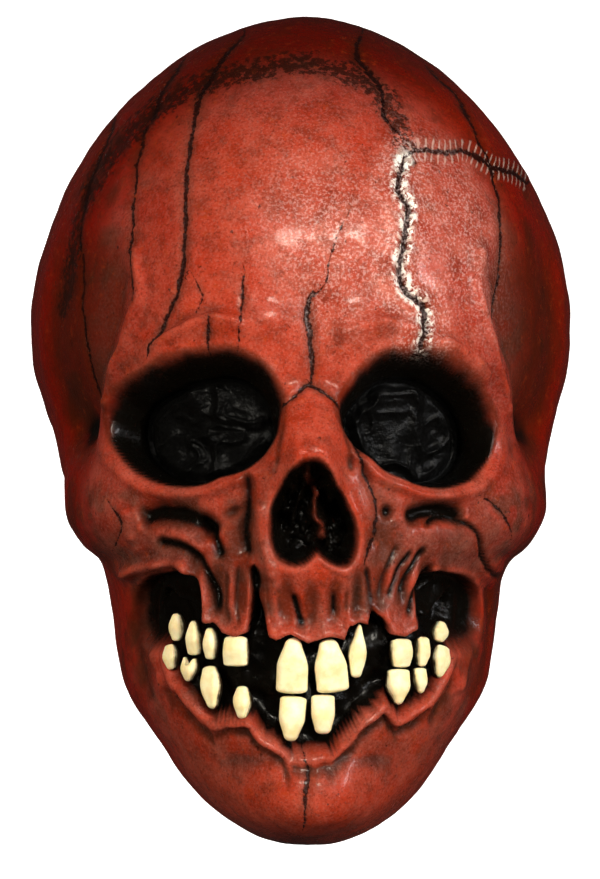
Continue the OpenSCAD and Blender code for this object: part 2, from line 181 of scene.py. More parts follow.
def noise(points, size, seed):
    """Random hills from -1 to 1, about size apart: a random number at each corner of a cubic
    lattice, blended by a smooth step along each axis."""
    q = points / size + 31.7 * seed
    cell = np.floor(q).astype(np.int64)
    f = q - cell
    f = f * f * (3 - 2 * f)
    total = np.zeros(points.shape[:-1])
    for corner in itertools.product((0, 1), repeat=3):
        c = cell + np.array(corner)
        h = (c[..., 0] * 73856093) ^ (c[..., 1] * 19349663) ^ (c[..., 2] * 83492791)
        h = ((h ^ (h >> 13)) * 1274126177) & 0x7FFFFFFF
        h = ((h ^ (h >> 11)) * 668265263) & 0x7FFFFFFF
        weight = np.prod(np.where(np.array(corner) == 1, f, 1 - f), -1)
        total += weight * (h / 0x3FFFFFFF - 1)
    return total


def hills(points, size, seed):
    """Random hills with smaller hills on them: each of 3 layers is half the size and height."""
    return sum(noise(points, size / 2 ** n, seed + n) / 2 ** n for n in range(3))


def turned(a, b, angle):
    """The pair a, b turned by angle."""
    return a * math.cos(angle) - b * math.sin(angle), a * math.sin(angle) + b * math.cos(angle)


# %% [markdown]
# ## The form of the skull
# The skull starts as an egg-like form: cross-sections at rising heights, each wide and rounded in
# front and drawn out behind. It is the same form that the frame's solids have, so that teeth, pads
# and studs meet it. The sculpture is then pressed into it and raised from it.

# %% Cross-sections
SECTIONS = np.array([
    # z, half width, y of the front, y of the widest place, reach behind it, squareness of the front
    [0, 23, -2, 60, 50, 2.1], [12, 34.5, -5, 61, 50, 2.2], [25, 44.5, -5, 62, 50, 2.2],
    [33, 49.5, -3, 66, 50, 2.3], [42, 55.6, -4, 70, 50, 2.3], [53, 62.5, -5, 76, 50, 2.3],
    [65, 65.6, -6, 83, 50, 2.3], [80, 67.5, -5, 92, 50, 2.3], [92, 69.5, -4, 94, 50, 2.3],
    [99, 72, -3, 84, 55, 2.2], [104, 77.5, -2, 80, 60, 2.2], [112, 83.2, -2, 80, 70, 2.2],
    [122, 85.3, -1, 86, 78, 2.2], [136, 86, 0, 102, 90, 2.2], [150, 89.5, 0, 120, 95, 2.3],
    [163, 93.4, -1, 132, 95, 2.4], [176, 95, 0, 138, 95, 2.6], [240, 95, 0, 140, 95, 2.4],
    [300, 95, 0, 140, 95, 2.2]])
TOP_Z, DOME_Z, CHIN_Z = 290, 184, 26
CROWN_Y, THROAT_Y = 88, 44
CORE = np.array([0, 110, 124])   # every ray to the surface starts here, on the trimmed edge's plane
TILT = math.radians(28)          # the trimmed edge's lean


def section_table(step=0.25):
    """The sections at close heights: a cubic between neighbours with averaged slopes."""
    z = np.arange(0, TOP_Z + step, step)
    s = SECTIONS
    last = len(s) - 1
    before, after = np.maximum(np.arange(last + 1) - 1, 0), np.minimum(np.arange(last + 1) + 1, last)
    slope = (s[after] - s[before]) / (s[after] - s[before])[:, :1]
    i = np.clip(np.searchsorted(s[:, 0], z, side="right") - 1, 0, last - 1)
    h = (s[i + 1, 0] - s[i, 0])[:, None]
    t = (z[:, None] - s[i, :1]) / h
    t2, t3 = t ** 2, t ** 3
    rows = (s[i] * (2 * t3 - 3 * t2 + 1) + s[i + 1] * (3 * t2 - 2 * t3)
            + h * (slope[i] * (t3 - 2 * t2 + t) + slope[i + 1] * (t3 - t2)))
    up = np.clip((z - DOME_Z) / (TOP_Z - DOME_Z), 0, 1)
    down = np.clip((CHIN_Z - z) / CHIN_Z, 0, 1)
    k = np.maximum((1 - up ** 1.8) ** (1 / 1.8) * (1 - down ** 3) ** (1 / 3), 0.001)
    middle = np.where(z > DOME_Z, CROWN_Y, THROAT_Y)
    return z, np.stack([rows[:, 1] * k, middle + (rows[:, 2] - middle) * k,
                        middle + (rows[:, 3] - middle) * k, rows[:, 4] * k, rows[:, 5]], -1)


TABLE_Z, TABLE = section_table()


def section(z):
    """Half width, y of the front, y of the widest place, reach behind and squareness at z."""
    return [np.interp(z, TABLE_Z, column) for column in TABLE.T]


def outside(p):
    """Below 0 inside the form and above 0 outside it: a superellipse in front of the widest
    place, an ellipse behind it."""
    half, front, widest, behind, square = section(np.clip(p[..., 2], 0, TOP_Z))
    across = np.minimum(np.abs(p[..., 0]) / half, 3)
    ahead = np.clip((widest - p[..., 1]) / (widest - front), 0, 3)
    back = np.clip((p[..., 1] - widest) / behind, 0, 3)
    value = np.where(p[..., 1] < widest, across ** square + ahead ** square, across ** 2 + back ** 2) - 1
    return np.where((p[..., 2] >= TOP_Z) | (p[..., 2] <= 0), 1, value)


def reach(d):
    """How far the surface is from CORE along the directions d, by halving the distance 20 times."""
    near, far = np.full(d.shape[:-1], 40.0), np.full(d.shape[:-1], 230.0)
    for _ in range(20):
        middle = (near + far) / 2
        out = outside(CORE + middle[..., None] * d) > 0
        near, far = np.where(out, near, middle), np.where(out, middle, far)
    return (near + far) / 2


def face_y(x, z):
    """y of the front of the form at x, z."""
    half, front, widest, _, square = section(z)
    return widest - (widest - front) * (1 - np.minimum(np.abs(x) / half, 1) ** square) ** (1 / square)


def face_turn(x, z):
    """Turn of the face about Z at x, z."""
    return math.atan((face_y(x + 1, z) - face_y(x - 1, z)) / 2)


print("half width at the brow:", round(float(section(176)[0]), 1), "mm")


# %% [markdown]
# ## Lines on the sculpture
# Cracks, sutures and the edges of bones are lines drawn over the face as seen from the front. For
# each point of the skin we need how far it lies to the side of a line and how far along it. Across
# the sides of the skull the drawing is wrapped round, so that a line keeps its width there.

# %% Strokes
GIRTH = 97


def wrap(x, behind=False):
    """Distance round the skull from the midline to x: the arc of a circle of radius GIRTH."""
    arc = GIRTH * np.arcsin(np.clip(x / GIRTH, -1, 1))
    return np.where(behind, np.sign(x) * math.pi * GIRTH - arc, arc)


def curve_through(points, steps=3):
    """A finer line through points, by a cubic between neighbours with averaged slopes."""
    p = np.array(points, float)
    ends = np.concatenate([[2 * p[0] - p[1]], p, [2 * p[-1] - p[-2]]])
    t = (np.arange(steps) / steps)[None, :, None]
    a, b, c, d = (ends[k:len(p) - 1 + k][:, None] for k in range(4))
    fine = 0.5 * (2 * b + (c - a) * t + (2 * a - 5 * b + 4 * c - d) * t ** 2
                  + (3 * b - a - 3 * c + d) * t ** 3)
    return np.concatenate([fine.reshape(-1, 2), p[-1:]])


def stroke(u, z, points, reach_mm):
    """For places u, z: signed distance to the side of the line through points, distance along
    it, and its whole length. Far places get the distance reach_mm."""
    line = curve_through([(float(wrap(x)), height) for x, height in points])
    across, along = np.full(u.shape, float(reach_mm)), np.zeros(u.shape)
    low, high = line.min(0) - reach_mm, line.max(0) + reach_mm
    near = (u > low[0]) & (u < high[0]) & (z > low[1]) & (z < high[1])
    a, d = line[:-1], np.diff(line, axis=0)
    length = np.hypot(*d.T)
    run = np.cumsum(length) - length
    pu, pz = u[near][:, None] - a[:, 0], z[near][:, None] - a[:, 1]
    t = np.clip((pu * d[:, 0] + pz * d[:, 1]) / length ** 2, 0, 1)
    distance = np.hypot(pu - t * d[:, 0], pz - t * d[:, 1])
    best = distance.argmin(1)
    row = np.arange(len(best))
    side = np.where(d[best, 0] * pz[row, best] - d[best, 1] * pu[row, best] < 0, -1, 1)
    across[near] = side * np.minimum(distance[row, best], reach_mm)
    along[near] = run[best] + t[row, best] * length[best]
    return across, along, length.sum()


# %% Outlines
def outline_ratio(x, z, centre, points):
    """1 on a closed outline round centre, less inside it. The outline's radius at each angle
    comes from its points by a smooth blend."""
    p = np.array(points, float)
    angle = np.arctan2(p[:, 1], p[:, 0])
    order = np.argsort(angle)
    angle, radius = angle[order], np.hypot(*p[order].T)
    angle = np.concatenate([angle - 2 * math.pi, angle, angle + 2 * math.pi])
    radius = np.tile(radius, 3)
    fine = np.linspace(-math.pi - 1, math.pi + 1, 400)
    at = np.interp(fine, angle, radius)
    kernel = bump(np.linspace(-2, 2, 25))
    at = np.convolve(np.pad(at, 12, mode="edge"), kernel / kernel.sum(), mode="valid")
    a = np.arctan2(z - centre[1], x - centre[0])
    return np.hypot(x - centre[0], z - centre[1]) / np.interp(a, fine, at)


def blob(x, z, centre, size, turn=0):
    """A soft round hill of height 1: exp(-(a^2 + b^2)), a and b along its turned axes."""
    c, s = math.cos(math.radians(turn)), math.sin(math.radians(turn))
    a, b = x - centre[0], z - centre[1]
    return bump((a * c + b * s) / size[0]) * bump((b * c - a * s) / size[1])


# %% [markdown]
# ## The sculpture
# The places below are in millimetres, from the midline and from the chin. They are laid out like
# a sculptor's drawing: the eye sockets, the nose opening, the edges of the gums, and every crack.

# %% Drawing of the face
SOCKET_FLOOR = 13     # how deep the bottom of a socket lies
SOCKETS = {
    -1: ((-39.3, 146.6), [(-25, 9), (-14, 16), (-3.5, 21), (4, 22), (10, 22.4), (20, 18), (25.6, 9),
                          (26.7, -3.5), (23, -11), (8.4, -18), (-4.6, -21.4), (-19, -17), (-26, -9)]),
    1: ((36.8, 146.6), [(-25, 5.6), (-19, 13.7), (-11, 21), (0.7, 22), (11.6, 18), (20.7, 10),
                        (25.3, -0.7), (25, -11), (19.6, -19), (8.8, -22), (-4, -19), (-15.8, -11.6),
                        (-23, -5.3)])}
NOSE = ((1, 112), [(-3, 22), (-12, 12), (-15, 1), (-15, -5), (-12, -12), (-8, -14), (-3, -13),
                   (1, -8.5), (6, -13), (12, -15), (15, -9), (15, -2), (12, 6), (7, 14), (2, 22)])
# Edges of the gums as x, z
GUM_TOP = [(-56, 88), (-49, 82), (-45, 81), (-40, 78), (-34, 77), (-31, 73.5), (-26, 72), (-22, 73),
           (-19.5, 86), (-17, 80), (-15, 72.5), (-12, 71), (-7, 72.5), (-1, 69.5), (3, 71), (7, 72),
           (12, 71), (14, 75), (17, 77), (20, 75), (22, 80), (25, 78), (28, 73), (33, 72), (37, 73.5),
           (46, 78), (50, 82), (56, 88)]
GUM_LOW = [(-52, 70), (-47, 60), (-42, 53), (-37, 47), (-33, 43), (-29, 45), (-21, 44), (-16, 39),
           (-10, 35), (-7, 31), (-1, 30), (6, 31), (12, 38), (16, 43), (21, 47), (26, 51), (31, 45),
           (35, 47), (42, 53), (47, 62), (52, 72)]
SUTURE = [(-88, 190), (-84, 206), (-80, 218), (-72, 235), (-59, 251), (-48, 260), (-34, 267),
          (-18, 271), (-1, 273), (12, 270), (20, 267), (29, 257), (33, 248), (33, 238)]
WOUND = [(33, 238), (31, 232), (31, 227), (34, 221), (33, 214), (32, 207), (31, 200), (33, 193),
         (38, 189), (40, 185), (39, 180), (38, 173)]
SCAR = [(34, 240), (39, 242), (48, 241), (55, 242), (61, 239), (66, 236), (72, 235), (78, 232)]
# Each crack: its places, its width, its depth
CRACKS = [
    ([(-21, 284), (-31, 272), (-36, 264), (-40, 252), (-42, 240), (-43, 215), (-44, 201), (-50, 183),
      (-53, 175), (-55, 170)], 1.3, 1.0),
    ([(-42, 275), (-48, 266), (-53, 257), (-57, 246), (-60, 232), (-61, 218), (-62, 205), (-61, 190)],
     1.0, 0.8),
    ([(-65, 255), (-71, 242), (-76, 229), (-80, 214), (-81, 200), (-81, 188), (-79, 170), (-75, 155)],
     0.9, 0.8),
    ([(21, 285), (17, 277), (21, 271), (25, 265), (27, 255), (31, 248)], 1.3, 1.0),
    ([(42, 273), (51, 264), (57, 254), (61, 245), (66, 230), (68, 215), (69, 201), (67, 192),
      (64, 183)], 0.9, 0.8),
    ([(1, 194), (-1, 186), (0, 180), (1, 174), (0, 168), (1, 162)], 1.5, 1.5),
    ([(-23, 199), (-23, 188), (-24, 174)], 0.6, 0.5),
    ([(-41, 198), (-38, 191), (-39, 186)], 0.6, 0.5),
    ([(13, 219), (7, 205), (5, 196), (1, 192)], 0.25, 0.12),
    ([(-34, 181), (-35, 172)], 1.6, 1.4),
    ([(-10, 152), (-5, 156), (0, 161), (6, 156), (12, 150)], 0.9, 0.9),
    ([(11, 150), (15, 140), (18, 130), (21, 121), (22, 112), (18, 98)], 0.8, 0.8),
    ([(-2, 30), (0, 25), (-2, 18), (-2, 9)], 1.1, 1.1),
    ([(60, 121), (66, 116), (69, 108)], 0.6, 0.5),
    ([(-68, 120), (-64, 112), (-67, 104)], 0.6, 0.5),
]
# Folds of the cheeks and gums: places, half width, how deep (raised below 0), how dark
FOLDS = [
    # On the mask's right: the hollow under the socket, the grooves and the arch of the cheekbone
    ([(-60, 113), (-52, 115.5), (-43, 114.5), (-36, 111), (-32, 107)], 3.6, 4.0, 1.0),
    ([(-40, 114), (-35.6, 110), (-32.3, 104), (-30.5, 98)], 1.8, 2.4, 0.9),
    ([(-64, 95), (-55, 97.5), (-46, 98.5), (-41, 94.5), (-37.4, 88), (-35.8, 76)], 2.3, -3.6, 0),
    ([(-54, 106), (-45, 104.5), (-38, 99), (-33, 88), (-31, 79)], 1.7, 2.4, 0.85),
    ([(-50, 110), (-42, 106.5), (-36, 101)], 2.4, -1.4, 0),
    ([(-20, 99), (-18.8, 88), (-19.3, 78), (-18, 70)], 1.8, 3.6, 1.0),
    ([(-25, 99), (-26, 85), (-24, 75)], 1.0, 0.9, 0.5),
    ([(-29, 97), (-29.5, 86), (-28, 76)], 0.9, 0.8, 0.5),
    ([(-6, 90), (-4.5, 81), (-2.5, 74)], 1.7, 1.6, 0.9),
    ([(-11, 92), (-10.5, 85), (-9.5, 77)], 1.0, 0.8, 0.5),
    ([(-22, 131), (-21, 120), (-22.5, 110), (-21, 99)], 2.6, 1.6, 0.75),
    ([(-17, 121), (-17, 109), (-15, 100), (-12.5, 92)], 2.0, -1.6, 0),
    # On the mask's left: the hollow, the mound of the cheek and slanted scores beside it
    ([(32, 113.5), (41, 116), (48, 116), (55, 114)], 3.2, 3.6, 1.0),
    ([(38.5, 110), (44, 113.5), (52, 113), (58, 109), (59.5, 101), (63, 95), (68, 93.5)], 1.1, 1.6, 0.85),
    ([(41, 105), (34, 95), (30.5, 85)], 1.2, 1.5, 0.85),
    ([(36, 104), (29.5, 94), (27, 84)], 1.1, 1.3, 0.8),
    ([(31, 106), (25.5, 94), (23.7, 84)], 1.0, 1.1, 0.65),
    ([(43.5, 99), (36.5, 88), (34, 78)], 1.3, 1.6, 0.85),
    ([(49, 93), (41, 87.5), (38.2, 79.5), (39, 73)], 1.8, -2.2, 0),
    ([(39.8, 81), (41, 73)], 1.0, 1.6, 0.9),
    ([(18.5, 99), (20.6, 88), (22, 77)], 1.4, 1.6, 0.7),
    ([(7, 90), (8, 84), (9, 78)], 1.3, 1.3, 0.75),
    ([(12.8, 91), (12.2, 80)], 1.0, 1.0, 0.5),
    # Ridges over the sockets, and the edge of each temple
    ([(-57, 171), (-47.5, 176.6), (-39, 180.5), (-33, 182), (-22, 179.5)], 2.8, -2.4, 0),
    ([(8, 176), (18, 178.5), (27, 180), (42.5, 175), (56, 167.5), (63, 160)], 2.8, -2.4, 0),
    ([(-62, 210), (-59, 193), (-62, 184), (-65, 173), (-68, 164), (-70, 150)], 2.4, -1.8, 0),
    ([(61, 210), (59, 196), (62, 182), (65, 170), (68, 158), (70, 148)], 2.4, -1.8, 0),
    # Nose: its sides and the bone's jagged lower rim
    ([(-9, 150), (-10, 140), (-12, 130)], 1.2, 0.8, 0.4),
    ([(10, 148), (13, 138), (14, 128)], 1.2, 0.8, 0.4),
    # Jaw: the inner edge of its upright branch on each side
    ([(-52, 93), (-56, 80), (-55, 66), (-50, 52)], 1.6, -1.6, 0),
    ([(58, 93), (59, 80), (57, 66), (52, 52)], 1.6, -1.6, 0),
    ([(-60, 92), (-61, 78), (-59, 62), (-54, 48)], 1.8, 1.0, 0.5),
    ([(63, 92), (64, 78), (62, 62), (57, 48)], 1.8, 1.0, 0.4),
]
# Small shiny knobs: place, radius, height
KNOBS = [((-61, 107), 1.8, 1.8), ((-58, 110.5), 1.4, 1.4), ((-55, 111.5), 1.2, 1.1), ((-59, 102.5), 2.0, 1.8),
         ((-56, 100), 1.6, 1.5), ((-61, 95), 1.8, 1.6), ((41.5, 78), 2.2, 2.0), ((-63, 116), 1.5, 1.0),
         ((66, 99), 1.6, 0.9)]


# %% [markdown]
# ## Relief of the skin
# One function gives, for each point of the form, how deep the sculpture lies below it, and how
# much dark wash the painter left there. Hollows count up and raised bone counts down. The wash
# gathers in the sockets, the nose, the mouth and the hollows of the cheeks.

# %% Relief of the openings
def gum_edge(points, x):
    """Height of a gum's edge at x, and how many times longer its slope makes it there."""
    along, up = np.array(points).T
    slope = np.interp(x + 0.5, along, up) - np.interp(x - 0.5, along, up)
    return np.interp(x, along, up), np.sqrt(1 + slope ** 2)


def openings(x, z, front):
    """Depth and wash of the eye sockets, the nose opening and the mouth."""
    depth, wash = np.zeros(x.shape), np.zeros(x.shape)
    place = np.stack([x, np.zeros(x.shape), z], -1)
    for side, (centre, points) in SOCKETS.items():
        s = outline_ratio(x, z, centre, points) + 0.015 * noise(place, 7, 5)
        upper = smooth(-12, 10, z - centre[1])
        depth += front * SOCKET_FLOOR * (1 - smooth(0.92 - 0.04 * upper, 1.01 + 0.14 * upper, s))
        depth -= front * 2.6 * bump((s - 1.14) / 0.11) * (1 - 0.75 * upper)
        wash = np.maximum(wash, 1 - smooth(0.99, 1.06 + 0.24 * upper, s))
    s = outline_ratio(x, z, *NOSE)
    depth += front * 15 * (1 - smooth(0.78, 1.0, s))
    depth -= front * 0.7 * bump((s - 1.12) / 0.12)
    within = smooth(1.0, 0.85, s)
    vomer = bump((x - np.interp(z, [104, 112, 130], [4.5, 3.0, 0.0]) + 1.6 * noise(place, 4, 19)) / 1.9)
    vomer = vomer * smooth(102, 107, z) * smooth(134, 122, z)
    shelf = bump((x - np.interp(z, [108, 120, 130], [-7.5, -4.5, -1])) / 1.2) * smooth(108, 114, z)
    depth -= front * within * (7 * vomer + 4.5 * shelf + 3.0 * hills(place, 4, 14))
    wash = np.maximum(wash, (1 - smooth(0.9, 1.04, s)) * (1 - 0.42 * vomer))
    (top, top_stretch), (low, low_stretch) = gum_edge(GUM_TOP, x), gum_edge(GUM_LOW, x)
    under_top = (top + 0.8 * noise(place, 4, 17) - z) / top_stretch
    over_low = (z - low - noise(place, 5, 18)) / low_stretch
    inside = smooth(-1.5, 1.5, under_top) * smooth(-1.5, 1.5, over_low) * smooth(56, 50, np.abs(x)) * front
    depth += inside * (8 + 1.6 * noise(place, 6, 9))
    narrow = smooth(54, 48, np.abs(x)) * front
    depth -= narrow * (2.2 * bump((over_low + 2.0) / 1.7) - 1.3 * bump((over_low + 5.2) / 1.8))
    depth -= narrow * 1.3 * bump((under_top + 2.2) / 2.0)
    wash = np.maximum(wash, 0.5 * narrow * bump((over_low + 5.6) / 1.6))
    wash = np.maximum(wash, smooth(0.15, 0.6, inside))
    return depth, wash


# %% Relief of the bones
def bones(x, y, z, u, front):
    """Depth and wash of the brow, nose, cheeks, temples, jaw and chin."""
    ax = np.abs(x)
    depth, wash = np.zeros(x.shape), np.zeros(x.shape)

    def press(amount, shape, dark=0.0):
        nonlocal depth, wash
        depth = depth + amount * shape
        wash = np.maximum(wash, dark * np.clip(shape, 0, 1))

    # Brow: two soft swellings and a ridge that runs out over the sockets
    press(-3.2, blob(ax, z, (22, 180), (17, 7), -8) * front)
    press(-2.6, blob(ax, z, (52, 171), (14, 5), -22) * front)
    press(2.2, blob(x, z, (0, 190), (9, 9)) * front)
    press(-1.8, blob(ax, z, (30, 218), (20, 18)) * front)
    # Nose: a narrow bone that stands out more and more, and the cheeks' rise towards it
    bone = smooth(166, 134, z) * smooth(124, 130, z + 0.12 * ax * ax)
    press(-10, bone * (1 - smooth(4, 13, ax)) * front)
    press(1.8, blob(x, z, (0, 162), (9, 4)) * front, 0.2)
    press(-7, bump(ax / 20) * smooth(160, 122, z) * smooth(78, 100, z) * front)
    press(2.2, blob(ax, z, (15, 143), (3, 12), 12) * front, 0.45)
    # Under each socket: a small opening for a nerve, and the cheekbone
    press(3.0, blob(x, z, (26.5, 116), (2.2, 2.6)) * front, 0.95)
    press(2.2, blob(x, z, (-27, 116), (4, 2), 25) * front, 0.6)
    press(-3.0, blob(x, z, (51.5, 103), (11, 8)) * front)
    press(-1.6, blob(x, z, (-50, 104), (9, 8)) * front)
    press(-3.0, blob(ax, z, (63, 96), (4, 4)) * (1 - smooth(60, 80, y)))
    press(-3.5, bump((ax - 70) / 9) * bump((z - 122) / 22) * (1 - smooth(60, 80, y)))
    press(1.6, blob(ax, z, (24, 104), (5, 13), -10) * front, 0.3)
    # The black hollow between cheekbone and jaw
    hollow = np.abs((ax - 49) / 12) ** 3 + np.abs((z - 81 + 0.15 * (ax - 49)) / 13.5) ** 3
    press(9, (1 - smooth(0.45, 1.25, hollow)) * (1 - smooth(70, 84, y)), 1.05)
    # Temples
    edge = np.interp(z, [150, 165, 173, 185, 200, 215], [71, 68.5, 65.5, 62, 60, 63])
    temple = smooth(0, 7, ax - edge) * smooth(226, 196, z) * smooth(136, 152, z) * smooth(92, 70, y)
    press(4.6, temple, 0.42)
    press(5, bump((ax - 79) / 5) * bump((z - 146) / 11) * (1 - smooth(70, 90, y)), 0.9)
    press(3, bump((y - 92) / 12) * bump((z - 122) / 9) * smooth(60, 75, ax), 0.6)
    # Jaw and chin
    press(-3.4, blob(x, z, (0, 13), (22, 9)))
    press(3.0, blob(x, z, (0, 28), (26, 4)) * front, 0.15)
    press(3.0, blob(ax, z, (26, 24), (9, 10)) * front)
    press(2.2, bump((ax - 58) / 4) * bump((z - 62) / 14) * front, 0.5)
    place = np.stack([x, y, z], -1)
    wavy, uneven = u + 0.5 * noise(place, 5, 8), 1.2 * (1 + 0.5 * noise(place, 6, 11))
    for points, half, amount, dark in FOLDS:
        across, along, length = stroke(wavy, z, points, 12)
        ends = smooth(0, 4, along) * smooth(0, 4, length - along)
        press(amount * uneven, ends * bump(across / half), 1.15 * dark)
    for centre, radius, height in KNOBS:
        press(-height, blob(x, z, centre, (radius, radius)))
    # Roots: ridges in the gums above and below the teeth
    roots = 0.5 + 0.5 * np.cos(2 * math.pi * u / 8.2)
    above = smooth(72, 80, z - 0.2 * ax) * smooth(98, 86, z - 0.2 * ax) * smooth(50, 44, ax)
    press(1.7, roots * above * front, 0.55)
    below = smooth(22, 30, z - 0.34 * ax) * smooth(38, 32, z - 0.34 * ax)
    press(0.5, (1 - roots) * below * front)
    return depth, wash


print("cracks:", len(CRACKS), "folds:", len(FOLDS), "knobs:", len(KNOBS))

# %% [markdown]
# ## The latex skin
# Rays leave a point inside the head in all directions, close together over the face. Each ray
# meets the form, and the relief moves the skin in or out along it. The inside of the latex follows
# three millimetres deeper, without the fine detail, as it does when liquid latex is poured into a
# mould. Signed distances to the cracks go with the mesh, so that the paint can draw them sharp.

# %% Rays
SPOKES, RINGS, FACE_RINGS = 420, 200, 150
FACE_AWAY = math.radians(50)
WALL = 3


def rays(turn, share):
    """Directions for turns about the nose's axis and shares of the way to the trimmed edge."""
    rim = np.arctan2(math.cos(TILT), -math.sin(TILT) * np.sin(turn))
    face = FACE_RINGS / RINGS
    away = np.where(share < face, FACE_AWAY * share / face,
                    FACE_AWAY + (rim - FACE_AWAY) * (share - face) / (1 - face))
    return np.stack([np.sin(away) * np.cos(turn), -np.cos(away), np.sin(away) * np.sin(turn)], -1)


turn, share = np.meshgrid(np.arange(SPOKES) * 2 * math.pi / SPOKES, np.arange(RINGS + 1) / RINGS)
RAYS = rays(turn, share)
FAR = reach(RAYS)
base = CORE + FAR[..., None] * RAYS
bx, by, bz = base[..., 0], base[..., 1], base[..., 2]
print("rays:", FAR.size, "longest:", round(float(FAR.max())), "mm")


# %% Lines over the skin
def lines(x, y, z):
    """For base places: signed distance in mm to the nearest crack and its width, and signed
    distances to the suture, the wound and the scar with the way along them."""
    place = np.stack([x, y, z], -1)
    u = wrap(x, y > section(z)[2])
    wander = noise(place, 8, 3) + 0.5 * noise(place, 3, 4)
    facts = {"crack": np.full(x.shape, 9.0), "crack_width": np.full(x.shape, 1.0),
             "crack_depth": np.zeros(x.shape)}
    for points, wide, deep in CRACKS:
        across, along, length = stroke(u + wander, z + 0.5 * wander, points, 9)
        taper = 0.35 + 0.65 * smooth(0, 6, along) * smooth(0, 9, length - along)
        closer = np.abs(across) < np.abs(facts["crack"])
        facts["crack"] = np.where(closer, across, facts["crack"])
        facts["crack_width"] = np.where(closer, wide * taper, facts["crack_width"])
        facts["crack_depth"] = np.where(closer, deep * taper, facts["crack_depth"])
    facts["seam"], _, _ = stroke(u + 1.2 * wander, z + wander, SUTURE, 12)
    facts["wound"], facts["wound_along"], _ = stroke(u + 0.35 * wander, z, WOUND, 12)
    facts["scar"], facts["scar_along"], _ = stroke(u, z + 0.3 * wander, SCAR, 12)
    return facts


# %% Depth and wash over the skin
def sculpt(x, y, z):
    """Depth below the form with and without fine detail, wash and lines, at base places."""
    place = np.stack([x, y, z], -1)
    u = wrap(x, y > section(z)[2])
    front = 1 - smooth(34, 56, y)
    hole_depth, hole_wash = openings(x, z, front)
    bone_depth, bone_wash = bones(x, y, z, u, front)
    coarse = hole_depth + bone_depth + 0.6 * hills(place, 34, 1)
    f = lines(x, y, z)
    depth = coarse + 0.22 * hills(place, 8, 2) * smooth(0.2, 0.6, 1 - np.maximum(hole_wash, 0))
    depth += 1.5 * np.clip(hole_wash, 0, 1) * front * hills(place, 7, 12)
    depth += f["crack_depth"] * (bump(f["crack"] / (0.5 + 0.8 * f["crack_width"]))
                                 - 0.25 * bump((np.abs(f["crack"]) - 2.4) / 1.3))
    depth += 0.5 * bump(f["seam"] / 1.6) + 1.6 * bump(f["wound"] / 1.3) + 0.8 * bump(f["scar"] / 1.2)
    depth -= 1.0 * bump((np.abs(f["wound"]) - 3.2) / 1.6) + 0.4 * bump((np.abs(f["scar"]) - 2.4) / 1.4)
    depth -= 0.7 * (0.5 + 0.5 * np.cos(2 * math.pi * f["wound_along"] / 4.2)) * bump(f["wound"] / 3.0)
    return depth, coarse, np.maximum(hole_wash, bone_wash), f


depth, coarse, _, _ = sculpt(bx, by, bz)
print("depth from", round(float(depth.min()), 1), "to", round(float(depth.max()), 1), "mm")


def relax(values, times):
    """Each point's value blended with its neighbours' on the grid, some number of times."""
    for _ in range(times):
        padded = np.pad(values, ((1, 1), (0, 0)), mode="edge")
        values = 0.5 * values + 0.125 * (padded[:-2] + padded[2:] + np.roll(values, 1, 1)
                                         + np.roll(values, -1, 1))
    return values


# %% Outer skin, trimmed edge and inner skin
INNER_STEP = 8
outer = CORE + (FAR - depth)[..., None] * RAYS
deepest = np.maximum(depth, coarse)
for _ in range(3):
    deepest = np.maximum(deepest, np.maximum(np.roll(deepest, 1, 1), np.roll(deepest, -1, 1)))
    deepest[1:-1] = np.maximum(deepest[1:-1], np.maximum(deepest[2:], deepest[:-2]))
deepest = relax(deepest, 6)
inner = CORE + (FAR - deepest - WALL)[..., None] * RAYS
grid = np.concatenate([outer[1:], inner[np.arange(RINGS, 0, -INNER_STEP)]]) - HEAD
skin = closed_grid("skull_skin", grid * MM, (outer[0, 0] - HEAD) * MM, (inner[0, 0] - HEAD) * MM)
print("skin:", len(skin.data.polygons), "faces")


# %% [markdown]
# ## Openings for the eyes
# The wearer looks through the sockets, so the latex is cut away at the bottom of each. A tapered
# plug in the outline of the socket, drawn along the same rays, is taken out of the skin.

# %% Cut the sockets
OPEN_SHARE = 0.94               # of the socket's outline
PLUG_FROM, PLUG_TO = 4.0, 34.0   # depths that the plug spans


def socket_ring(side, ratio, count=96):
    """Places x, z of a socket's outline, shrunk by ratio, at even angles."""
    centre, points = SOCKETS[side]
    a = np.linspace(0, 2 * math.pi, count, endpoint=False)
    reach_out = 1 / outline_ratio(centre[0] + np.cos(a), centre[1] + np.sin(a), centre, points)
    ratio = np.asarray(ratio, float)[..., None]
    return centre[0] + ratio * reach_out * np.cos(a), centre[1] + ratio * reach_out * np.sin(a)


def below(x, z, depth_mm):
    """The point depth_mm below the form's front at x, z, along the ray from CORE."""
    p = np.stack([x, face_y(x, z), z], -1)
    v = p - CORE
    return (p - np.asarray(depth_mm)[..., None] * v / np.linalg.norm(v, axis=-1, keepdims=True) - HEAD) * MM


def cut_away(piece, cutter):
    """The piece less the cutter, which is then thrown away."""
    modifier = piece.modifiers.new("cut", "BOOLEAN")
    modifier.operation = "DIFFERENCE"
    modifier.solver = "EXACT"
    modifier.object = cutter
    with bpy.context.temp_override(object=piece, active_object=piece):
        bpy.ops.object.modifier_apply(modifier=modifier.name)
    bpy.data.objects.remove(cutter)


for side in SOCKETS:
    x, z = socket_ring(side, [OPEN_SHARE, OPEN_SHARE])
    ring = below(x, z, np.broadcast_to([[PLUG_FROM], [PLUG_TO]], x.shape))
    cut_away(skin, closed_grid("socket_plug", ring[:, ::-1]))
skin.data.shade_smooth()
print("skin with openings:", len(skin.data.polygons), "faces")
